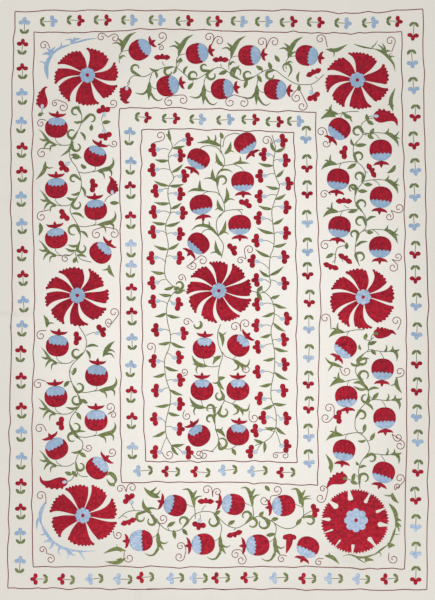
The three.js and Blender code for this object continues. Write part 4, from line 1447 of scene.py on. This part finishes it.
def hooked_bud(work, run, width, side, cup):
    """A red bud that swells from its foot, with knobs on one side and a hooked tip."""
    line = smooth_line(charted(run))
    work.stroke("red", [*line[::4], line[-1]], squares(width), bud_width)
    for share in KNOBS:
        near, ahead = resample(line, np.array([share, share + 0.03]))
        lean = lean_between(near, ahead)
        knob = near + 1j * lean * side * squares(width / 2 * bud_width(share) - 0.2)
        work.lobe("red", knob, lean, half_length=1.6, width=3.0)
    work.layer = work.sizes.pile * 0.5
    lean = lean_between(line[3], line[8])
    work.lobe(cup, line[3] + lean * squares(0.2), lean, half_length=2.4, width=3.8)
    work.layer = 0.0


def bell_bud(work, run):
    """A red bell: a wide lobed cap over a body that tapers."""
    line = charted(run)
    work.stroke("red", line, squares(7.4), bell_width)
    way = lean_between(line[0], line[1])
    at = frame_at(line[0], way)
    for side in (-1, 1):
        lean = 1j * way * side + 0.4 * way
        work.lobe("red", at(3.8 * side, 3.4), lean, half_length=3.0, width=5.4)


def barbed_leaf(work, foot, tip, barb):
    """A pointed leaf with a hooked barb at its foot."""
    axis = tip - foot
    side = np.sign((np.conj(axis) * (barb - foot)).imag)
    bowed = [foot, foot + axis * 0.45 + 1j * axis * 0.14 * side, tip]
    work.stroke("green", bowed, squares(4.2), blade_width)
    bend = foot + (barb - foot) * 0.55 + axis * 0.18
    work.stroke("green", [foot + axis * 0.2, bend, barb], squares(2.8), horn_width)


def nearest(routes, place, reach):
    """The closest place on the vines, or the place itself where no vine is within reach."""
    points = np.concatenate(routes)
    near = points[np.abs(points - place).argmin()]
    return near if abs(near - place) < squares(reach) else place


def field_leaf(work, routes, x1, y1, x2, y2):
    """A leaf of the field's side vines, bowed up."""
    foot, tip = nearest(routes, chart(x1, y1), 4), chart(x2, y2)
    work.lens("green", foot, tip, squares(3.6), -0.07 if x2 > x1 else 0.07, blade_width)


def round_leaf(work, routes, x, y, way, size):
    """A plump leaf, with a short stem where a vine is near."""
    centre, reach = chart(x, y), heading(way) * squares(1.3 * size)
    work.lens("green", centre - reach, centre + reach, squares(4.2))
    vine = nearest(routes, centre, 9)
    end = min((centre - reach, centre + reach), key=lambda place: abs(place - vine))
    if vine != centre and abs(vine - end) > squares(0.6):
        work.stem([vine, end], THIN)


CURL_SWEEP = 245  # degrees that a curl winds round
CURL_TIGHTEN = 0.8
SCROLL_SWEEP = 430
SCROLL_TIGHTEN = 0.25
SCROLL_RADII = (3.1, 5.0)  # the least and the greatest radius of a tendril's scroll


def curl(work, routes, x, y, radius, foot, sweep):
    """A curved claw that leaves its vine and bends round into a hook."""
    centre, reach, turn = chart(x, y), squares(radius), math.copysign(1, sweep)
    vine = min(routes, key=lambda line: np.abs(line - centre).min())
    near = int(np.abs(vine - centre).argmin())
    gap = vine[near] - centre
    places = work.scroll(centre, reach, foot, sweep, CURL_TIGHTEN)
    if abs(gap) < 2.6 * reach:
        passing = 1j * turn * gap / abs(gap)
        onward = vine[min(near + 2, len(vine) - 1)] - vine[max(near - 2, 0)]
        back = -1 if (np.conj(passing) * onward).real > 0 else 1
        run = run_of(vine)
        start = np.interp(run[near] + back * 1.3 * reach, run, vine)
        first = math.degrees(np.angle(gap)) + turn * 30
        places = [start, *work.scroll(centre, reach, first, turn * CURL_SWEEP, CURL_TIGHTEN)]
    work.stroke("green", places, squares(3.4), curl_width, step=0.003)


def tendril(work, start, scrolls):
    """A fine line that runs to one scroll, or to two that turn away from each other."""
    start = chart(*start)
    least, most = SCROLL_RADII
    for turn, place in zip((1, -1), scrolls):
        centre = chart(*place)
        gap = abs(start - centre)
        radius = min(squares(most), max(squares(least), gap * 0.66))
        touching = math.degrees(math.acos(min(1, radius / gap)))
        first = math.degrees(np.angle(start - centre)) + turn * touching
        spiral = work.scroll(centre, radius, first, turn * SCROLL_SWEEP, SCROLL_TIGHTEN)
        places = [start, *spiral] if gap > 1.15 * radius else spiral
        work.stroke("brick", places, work.sizes.tendril_width, step=0.0032)


# The settings that a user would change


def length_setting(name, description, default):
    return FloatProperty(name=name, description=description, default=default, min=default / 4,
                         max=default * 3, precision=4, unit="LENGTH")


def colour_setting(name, description, *red_green_blue):
    return FloatVectorProperty(name=name, description=description, default=srgb(*red_green_blue),
                               subtype="COLOR", min=0, max=1)


class SuzaniSizes(PropertyGroup):
    cloth_thickness: length_setting("Cloth thickness", "Thickness of the cotton ground", 0.0012)
    hem_width: length_setting("Hem width", "Width of the turned edge", 0.011)
    hem_rise: length_setting(
        "Hem rise", "How much thicker the cloth is where its edge is turned", 0.0008)
    columns: IntProperty(
        name="Columns", description="Cells of the cloth's mesh from side to side",
        default=180, min=20, max=200)
    lines: IntProperty(
        name="Lines", description="Cells of the cloth's mesh from bottom to top",
        default=246, min=20, max=270)
    weave_pitch: length_setting("Weave pitch", "Distance between two threads of the cotton", 0.0016)
    row_width: length_setting("Row width", "Width of one row of stitches", 0.003)
    pile: length_setting("Thread height", "How far the stitches stand out of the cloth", 0.0011)
    groove: FloatProperty(
        name="Groove", description="Depth between two rows, as a share of the thread height",
        default=0.34, min=0.0, max=0.9, subtype="FACTOR")
    sink: length_setting("Sink", "How deep the edge of a stitched shape goes into the cloth", 0.0004)
    rule_width: length_setting("Line width", "Width of the ruled lines", 0.0042)
    stem_width: length_setting("Stem width", "Width of the vines and stems", 0.0036)
    tendril_width: length_setting("Tendril width", "Width of the fine tendrils", 0.0034)
    cotton: colour_setting("Cotton", "Colour of the cloth in its middle", 242, 238, 231)
    # the aged cloth's colour, which the cloth is also painted towards its sides and top left as painted
    # shade
    aged_and_shaded_cotton: colour_setting("Aged cotton", "Colour of the cloth towards its sides", 220, 216, 207)
    floor: colour_setting("Floor", "Colour of the floor under the cloth", 205, 204, 200)


class ThreadColours(PropertyGroup):
    red: colour_setting("Red", "Madder red thread", 186, 22, 47)
    blue: colour_setting("Blue", "Sky blue thread", 159, 181, 203)
    green: colour_setting("Green", "Leaf green thread", 120, 135, 85)
    stem: colour_setting("Stem", "Dull green thread of the vines", 112, 122, 90)
    pale: colour_setting("Pale", "Pale blue thread of the florets' cups", 196, 208, 222)
    brick: colour_setting("Brick", "Dark red thread of the fine lines", 128, 38, 48)


# The darker shade and the other dye lot of each thread, next to its own colour, and how
# strongly its rows are streaked with the darker one. The darker shade also gives the painted
# shade along the edges of each shape. Moving from the other, lighter lot to the thread's own
# colour paints the thread darker towards the top and the sides of the cloth, as painted shade.
SHADES = {
    "red": (srgb(106, 12, 30), srgb(210, 30, 54), 0.6),
    "blue": (srgb(129, 157, 189), srgb(206, 219, 238), 0.6),
    "pale": (srgb(156, 178, 202), srgb(208, 214, 224), 0.45),
    "green": (srgb(85, 97, 56), srgb(140, 150, 88), 0.45),
    "stem": (srgb(84, 90, 64), srgb(126, 132, 92), 0.45),
    "brick": (srgb(92, 26, 34), srgb(140, 54, 58), 0.45),
}


class Workshop:
    """What the operators share: the cloth's height and the threads."""

    lift = None
    threads = {}

    @classmethod
    def ready(cls, scene):
        if cls.lift is None:
            cls.lift = Lift()
        if not cls.threads:
            for name, shades in SHADES.items():
                own = tuple(getattr(scene.suzani_threads, name))
                cls.threads[name] = thread_material(name + "_thread", own, *shades)
        return cls

    @classmethod
    def stitchery(cls, context, name, *threads):
        cls.ready(context.scene)
        used = {thread: cls.threads[thread] for thread in threads}
        return Stitchery(name, context.scene.suzani_sizes, cls.lift, used)


# The pieces


HEM_LINES = (0, 0.25, 1, 1.15)  # lines of the mesh at its edge, as shares of the hem's width
HEM_REACH = 1.05  # the hem's rise ends here, as a share of its width
EDGE_DROP = 0.35  # how far the very edge is rounded off, as a share of the cloth's thickness


def side_curve(name, share):
    """How far a side is from the middle, at a share of its length, in metres."""
    places = [complex(i / 3, value * MM) for i, value in enumerate(SIDES[name])]
    return np.interp(share, smooth_line(places).real, smooth_line(places).imag)


class SUZANI_OT_cloth(Operator):
    """Lays out the cotton cloth with its creases and its turned hem"""

    bl_idname = "suzani.cloth"
    bl_label = "Cloth"

    def grid_shares(self, count, length, hem):
        """Where the lines of the mesh lie, as shares of the cloth's length."""
        rim = np.array(HEM_LINES) * hem / length
        inside = np.linspace(rim[-1], 1 - rim[-1], count + 3 - 2 * len(rim))[1:-1]
        return np.concatenate([rim, inside, 1 - rim[::-1]])

    def execute(self, context):
        sizes = context.scene.suzani_sizes
        lift = Workshop.ready(context.scene).lift
        length = 2 * max(SIDES["top"]) * MM
        width = 2 * max(SIDES["left"]) * MM
        u = self.grid_shares(sizes.columns, width, sizes.hem_width)
        v = self.grid_shares(sizes.lines, length, sizes.hem_width)
        left, right = -side_curve("left", v), side_curve("right", v)
        bottom, top = -side_curve("bottom", u), side_curve("top", u)
        x = left[None, :] + (right - left)[None, :] * u[:, None]
        y = bottom[:, None] + (top - bottom)[:, None] * v[None, :]
        places = x + 1j * y
        low = lift.at(places)
        from_edge = np.minimum(
            np.minimum(u, 1 - u)[:, None] * width, np.minimum(v, 1 - v)[None, :] * length)
        in_hem = from_edge < HEM_REACH * sizes.hem_width
        rounding = np.where(from_edge < 1e-6, -EDGE_DROP, 0.0) * sizes.cloth_thickness
        high = low + sizes.cloth_thickness + sizes.hem_rise * in_hem + rounding
        index = np.arange(places.size).reshape(places.shape)
        top_quads = np.stack([index[:-1, :-1], index[1:, :-1], index[1:, 1:], index[:-1, 1:]], -1)
        under = top_quads[..., ::-1] + places.size
        rim = np.concatenate([index[:, 0], index[-1, 1:], index[-2::-1, -1], index[0, -2:0:-1]])
        after = np.roll(rim, -1)
        rim_quads = np.stack([rim, rim + places.size, after + places.size, after], 1)
        quads = np.concatenate([top_quads.reshape(-1, 4), under.reshape(-1, 4), rim_quads])
        corners = np.concatenate([
            np.stack([x.ravel(), y.ravel(), high.ravel()], 1),
            np.stack([x.ravel(), y.ravel(), low.ravel()], 1)])
        mesh = bpy.data.meshes.new("cotton_cloth")
        mesh.from_pydata(corners.tolist(), [], quads.tolist())
        mesh.polygons.foreach_set("use_smooth", np.ones(len(quads), bool))
        flat = seen_from_above(np.concatenate([places.ravel(), places.ravel()]))[quads.ravel()]
        is_under = np.repeat(np.arange(len(quads)) >= len(top_quads.reshape(-1, 4)), 4)
        flat[:, 0] = flat[:, 0] / 2 + 0.5 * is_under
        write_map(mesh, BAKE_MAP, flat)
        mesh.materials.append(cotton_material("cotton", sizes))
        cloth = add_piece("cotton_cloth", mesh)
        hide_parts(CLOTH_NODE)
        return {"FINISHED"}


class SUZANI_OT_rules(Operator):
    """Stitches the fine lines ruled round the borders and the field"""

    bl_idname = "suzani.rules"
    bl_label = "Ruled lines"

    def execute(self, context):
        work = Workshop.stitchery(context, "ruled_lines", "brick")
        for i, sides in enumerate(RULES.values()):
            for j, side in enumerate(sides):
                line = smooth_line(charted((sides[j - 1][-1], *side)))
                run = run_of(line)
                way = np.gradient(line)
                hold = np.minimum(1, np.minimum(run, run[-1] - run) / squares(RULE_HOLD))
                stray = sum(
                    np.sin(run / squares(wave) * TURN + 1.7 * i + 2.3 * j + k)
                    for k, wave in enumerate(RULE_WAVES))
                line = line + 1j * way / np.abs(way) * stray * squares(RULE_WOBBLE) / 2 * hold
                work.stroke("brick", self.finer(line), work.sizes.rule_width, step=0.007)
        work.make()
        return {"FINISHED"}

    def finer(self, line):
        return list(resample(line, np.linspace(0, 1, max(4, int(run_of(line)[-1] / RULE_STEP)))))


class SUZANI_OT_sprigs(Operator):
    """Stitches the small sprigs of the two narrow borders"""

    bl_idname = "suzani.sprigs"
    bl_label = "Border sprigs"

    def execute(self, context):
        work = Workshop.stitchery(context, "border_sprigs", "red", "blue", "green", "stem")
        for row in SPRIG_RUNS:
            run = dict(zip(SPRIG_COLUMNS, row))
            along, aside = zip(*run["line"])
            for station, colour in zip(run["stations"], run["colours"]):
                across = np.interp(station, along, aside)
                place = chart(station, across) if run["axis"] == "x" else chart(across, station)
                sway = SPRIG_SWAY * math.sin(station * 1.7)
                stem = run["stem"] + STEM_SWAY * math.sin(station * 2.3)
                sprig(work, place, run["way"] + sway, SPRIG_THREADS[colour], stem)
        work.make()
        return {"FINISHED"}


class SUZANI_OT_rosettes(Operator):
    """Stitches the seven big rosettes"""

    bl_idname = "suzani.rosettes"
    bl_label = "Rosettes"

    def execute(self, context):
        work = Workshop.stitchery(context, "rosettes", "red", "blue")
        for row in ROSETTES.values():
            rosette(work, *row)
        wheel(work, *WHEEL, WHEEL_SLOTS)
        work.make()
        return {"FINISHED"}


class SUZANI_OT_pomegranates(Operator):
    """Stitches the pomegranates with their caps and crowns"""

    bl_idname = "suzani.pomegranates"
    bl_label = "Pomegranates"

    def execute(self, context):
        work = Workshop.stitchery(context, "pomegranates", "red", "blue")
        for way, reach, cap, horns, _, fruits in POMEGRANATES.values():
            for x, y, lean, _ in fruits:
                pomegranate(work, chart(x, y), way + lean, reach, cap, horns)
        work.make()
        return {"FINISHED"}


class SUZANI_OT_vines(Operator):
    """Stitches the vines, the twigs of the pomegranates and their leaves"""

    bl_idname = "suzani.vines"
    bl_label = "Vines and leaves"

    def execute(self, context):
        work = Workshop.stitchery(context, "vines", "green", "stem")
        routes = [smooth_line(charted(route)) for route in VINES.values()]
        for route in VINES.values():
            work.stem(charted(route))
        for way, _, _, _, forms, fruits in POMEGRANATES.values():
            for x, y, _, out in fruits:
                if out:
                    twig(work, chart(x, y), way, out, forms[out])
        for row in FIELD_LEAVES:
            field_leaf(work, routes, *row)
        for x1, y1, x2, y2, x3, y3 in BARBED_LEAVES:
            barbed_leaf(work, chart(x1, y1), chart(x2, y2), chart(x3, y3))
        for row in CURLS:
            curl(work, routes, *row)
        for row in ROUND_LEAVES:
            round_leaf(work, routes, *row)
        for x1, y1, x2, y2 in TICKS:
            work.lens("green", chart(x1, y1), chart(x2, y2), squares(TICK_WIDTH), TICK_BOW)
        work.make()
        return {"FINISHED"}


class SUZANI_OT_florets(Operator):
    """Stitches the florets of the field and of the bands"""

    bl_idname = "suzani.florets"
    bl_label = "Florets"

    def execute(self, context):
        work = Workshop.stitchery(context, "florets", "red", "pale", "stem")
        for x, y, stem_x, stem_y in FIELD_FLORETS:
            way = (0 if x > stem_x else 180) + FLORET_LEAN * math.sin(x + y)
            cup = chart(x, y) - heading(way) * squares(FLORET_STEM["field"])
            foot = chart(stem_x, stem_y)
            bend = (cup + foot) / 2 + 1j * squares(STEM_ARCH)
            work.stem([foot, bend, cup], THIN)
            floret(work, x, y, way)
        for x, y, way, form, stem_x, stem_y in BAND_FLORETS:
            foot = chart(stem_x, stem_y)
            cup = chart(x, y) - heading(way) * squares(FLORET_STEM["band"])
            if form != 0:
                bend = (foot + cup) / 2 + STEM_BOW * 1j * (cup - foot)
                work.stem([foot, bend, cup], THIN)
            if form == 2:
                bar_floret(work, x, y, way)
            else:
                floret(work, x, y, way, form == 1)
        work.make()
        return {"FINISHED"}


class SUZANI_OT_buds(Operator):
    """Stitches the red buds with hooked tips"""

    bl_idname = "suzani.buds"
    bl_label = "Hooked buds"

    def execute(self, context):
        work = Workshop.stitchery(context, "hooked_buds", "red", "pale", "green", "stem")
        for run, width, side, start, cup in HOOKED_BUDS:
            foot, start = chart(*run[0]), chart(*start)
            bend = (start + foot) / 2 + 0.12j * (foot - start)
            work.stem([start, bend, foot])
            hooked_bud(work, run, width, side, cup)
        bell_bud(work, BELL_BUD)
        work.make()
        return {"FINISHED"}


class SUZANI_OT_tendrils(Operator):
    """Stitches the fine scrolled tendrils"""

    bl_idname = "suzani.tendrils"
    bl_label = "Tendrils"

    def execute(self, context):
        work = Workshop.stitchery(context, "tendrils", "brick")
        for start, *scrolls in TENDRILS:
            tendril(work, start, scrolls)
        work.make()
        return {"FINISHED"}


class SUZANI_OT_garlands(Operator):
    """Stitches the garlands round the corner rosettes"""

    bl_idname = "suzani.garlands"
    bl_label = "Garlands"

    def execute(self, context):
        work = Workshop.stitchery(context, "garlands", "blue", "green")
        for thread, strokes in GARLANDS.values():
            for width, places in strokes:
                shape = blade_width if len(places) > 3 else horn_width
                work.stroke(thread, charted(places), squares(width), shape)
        work.make()
        return {"FINISHED"}


FLOOR_SIZE = 14
# The lamps: where each stands, its watts, its width, and the colour of its light
LAMPS = {
    "key": ((-1.0, 2.6, 4.7), 98, 2.0, (1.0, 0.995, 0.985)),
    "fill": ((0.9, -3.1, 4.9), 187, 3.5, (0.99, 0.995, 1.0)),
}
SKY_LIGHT = 0.38
LENS = 85.0  # millimetres, as is the sensor
SENSOR = 36.0


class SUZANI_OT_stage(Operator):
    """Sets the pale floor, the soft lights and the camera above the cloth"""

    bl_idname = "suzani.stage"
    bl_label = "Stage"

    def light(self, name, place, energy, size, colour):
        """Adds a soft lamp that faces the middle of the cloth."""
        lamp = bpy.data.lights.new(name, "AREA")
        lamp.energy, lamp.size, lamp.color = energy, size, colour
        holder = bpy.data.objects.new(name, lamp)
        holder.location = place
        holder.rotation_euler = self.facing(place)
        bpy.context.scene.collection.objects.link(holder)

    def facing(self, place):
        """The turn that points a lamp from its place at the middle of the cloth."""
        x, y, z = place
        return math.atan2(math.hypot(x, y), z), 0.0, math.atan2(y, x) + math.pi / 2

    def execute(self, context):
        scene = context.scene
        sizes = scene.suzani_sizes
        bpy.ops.mesh.primitive_plane_add(size=FLOOR_SIZE)
        floor = context.object
        floor.name = "floor"
        floor.data.materials.append(floor_material("floor", tuple(sizes.floor)))
        for name, lamp in LAMPS.items():
            self.light(name, *lamp)
        world = scene.world or bpy.data.worlds.new("world")
        scene.world = world
        world.use_nodes = True
        background = world.node_tree.nodes["Background"]
        background.inputs["Color"].default_value = (1.0, 1.0, 1.0, 1.0)
        background.inputs["Strength"].default_value = SKY_LIGHT
        scene.view_settings.view_transform = "Standard"
        self.camera(context)
        return {"FINISHED"}

    def camera(self, context):
        """Looks straight down, from where the chart just fills the picture."""
        eye = bpy.data.cameras.new("camera")
        eye.lens = LENS
        eye.sensor_width = SENSOR
        holder = bpy.data.objects.new("camera", eye)
        holder.location = (0.0, 0.0, CHART_HIGH * SQUARE * LENS / SENSOR)
        context.scene.collection.objects.link(holder)
        context.scene.camera = holder


PIECES = (
    SUZANI_OT_cloth, SUZANI_OT_rules, SUZANI_OT_sprigs, SUZANI_OT_rosettes, SUZANI_OT_pomegranates,
    SUZANI_OT_vines, SUZANI_OT_florets, SUZANI_OT_buds, SUZANI_OT_tendrils, SUZANI_OT_garlands,
    SUZANI_OT_stage,
)


class SUZANI_PT_panel(Panel):
    """The suzani's pieces and their sizes"""

    bl_idname = "SUZANI_PT_panel"
    bl_label = "Suzani"
    bl_space_type = "VIEW_3D"
    bl_region_type = "UI"
    bl_category = "Suzani"

    def draw(self, context):
        layout = self.layout
        for group in (context.scene.suzani_sizes, context.scene.suzani_threads):
            for name in group.__annotations__:
                layout.prop(group, name)
        for piece in PIECES:
            layout.operator(piece.bl_idname)


CLASSES = (SuzaniSizes, ThreadColours, *PIECES, SUZANI_PT_panel)


def register():
    for item in CLASSES:
        bpy.utils.register_class(item)
    bpy.types.Scene.suzani_sizes = PointerProperty(type=SuzaniSizes)
    bpy.types.Scene.suzani_threads = PointerProperty(type=ThreadColours)


def unregister():
    del bpy.types.Scene.suzani_threads
    del bpy.types.Scene.suzani_sizes
    for item in reversed(CLASSES):
        bpy.utils.unregister_class(item)


def main():
    register()
    for piece in PIECES:
        group, name = piece.bl_idname.split(".")
        getattr(getattr(bpy.ops, group), name)()


if __name__ == "__main__":
    main()
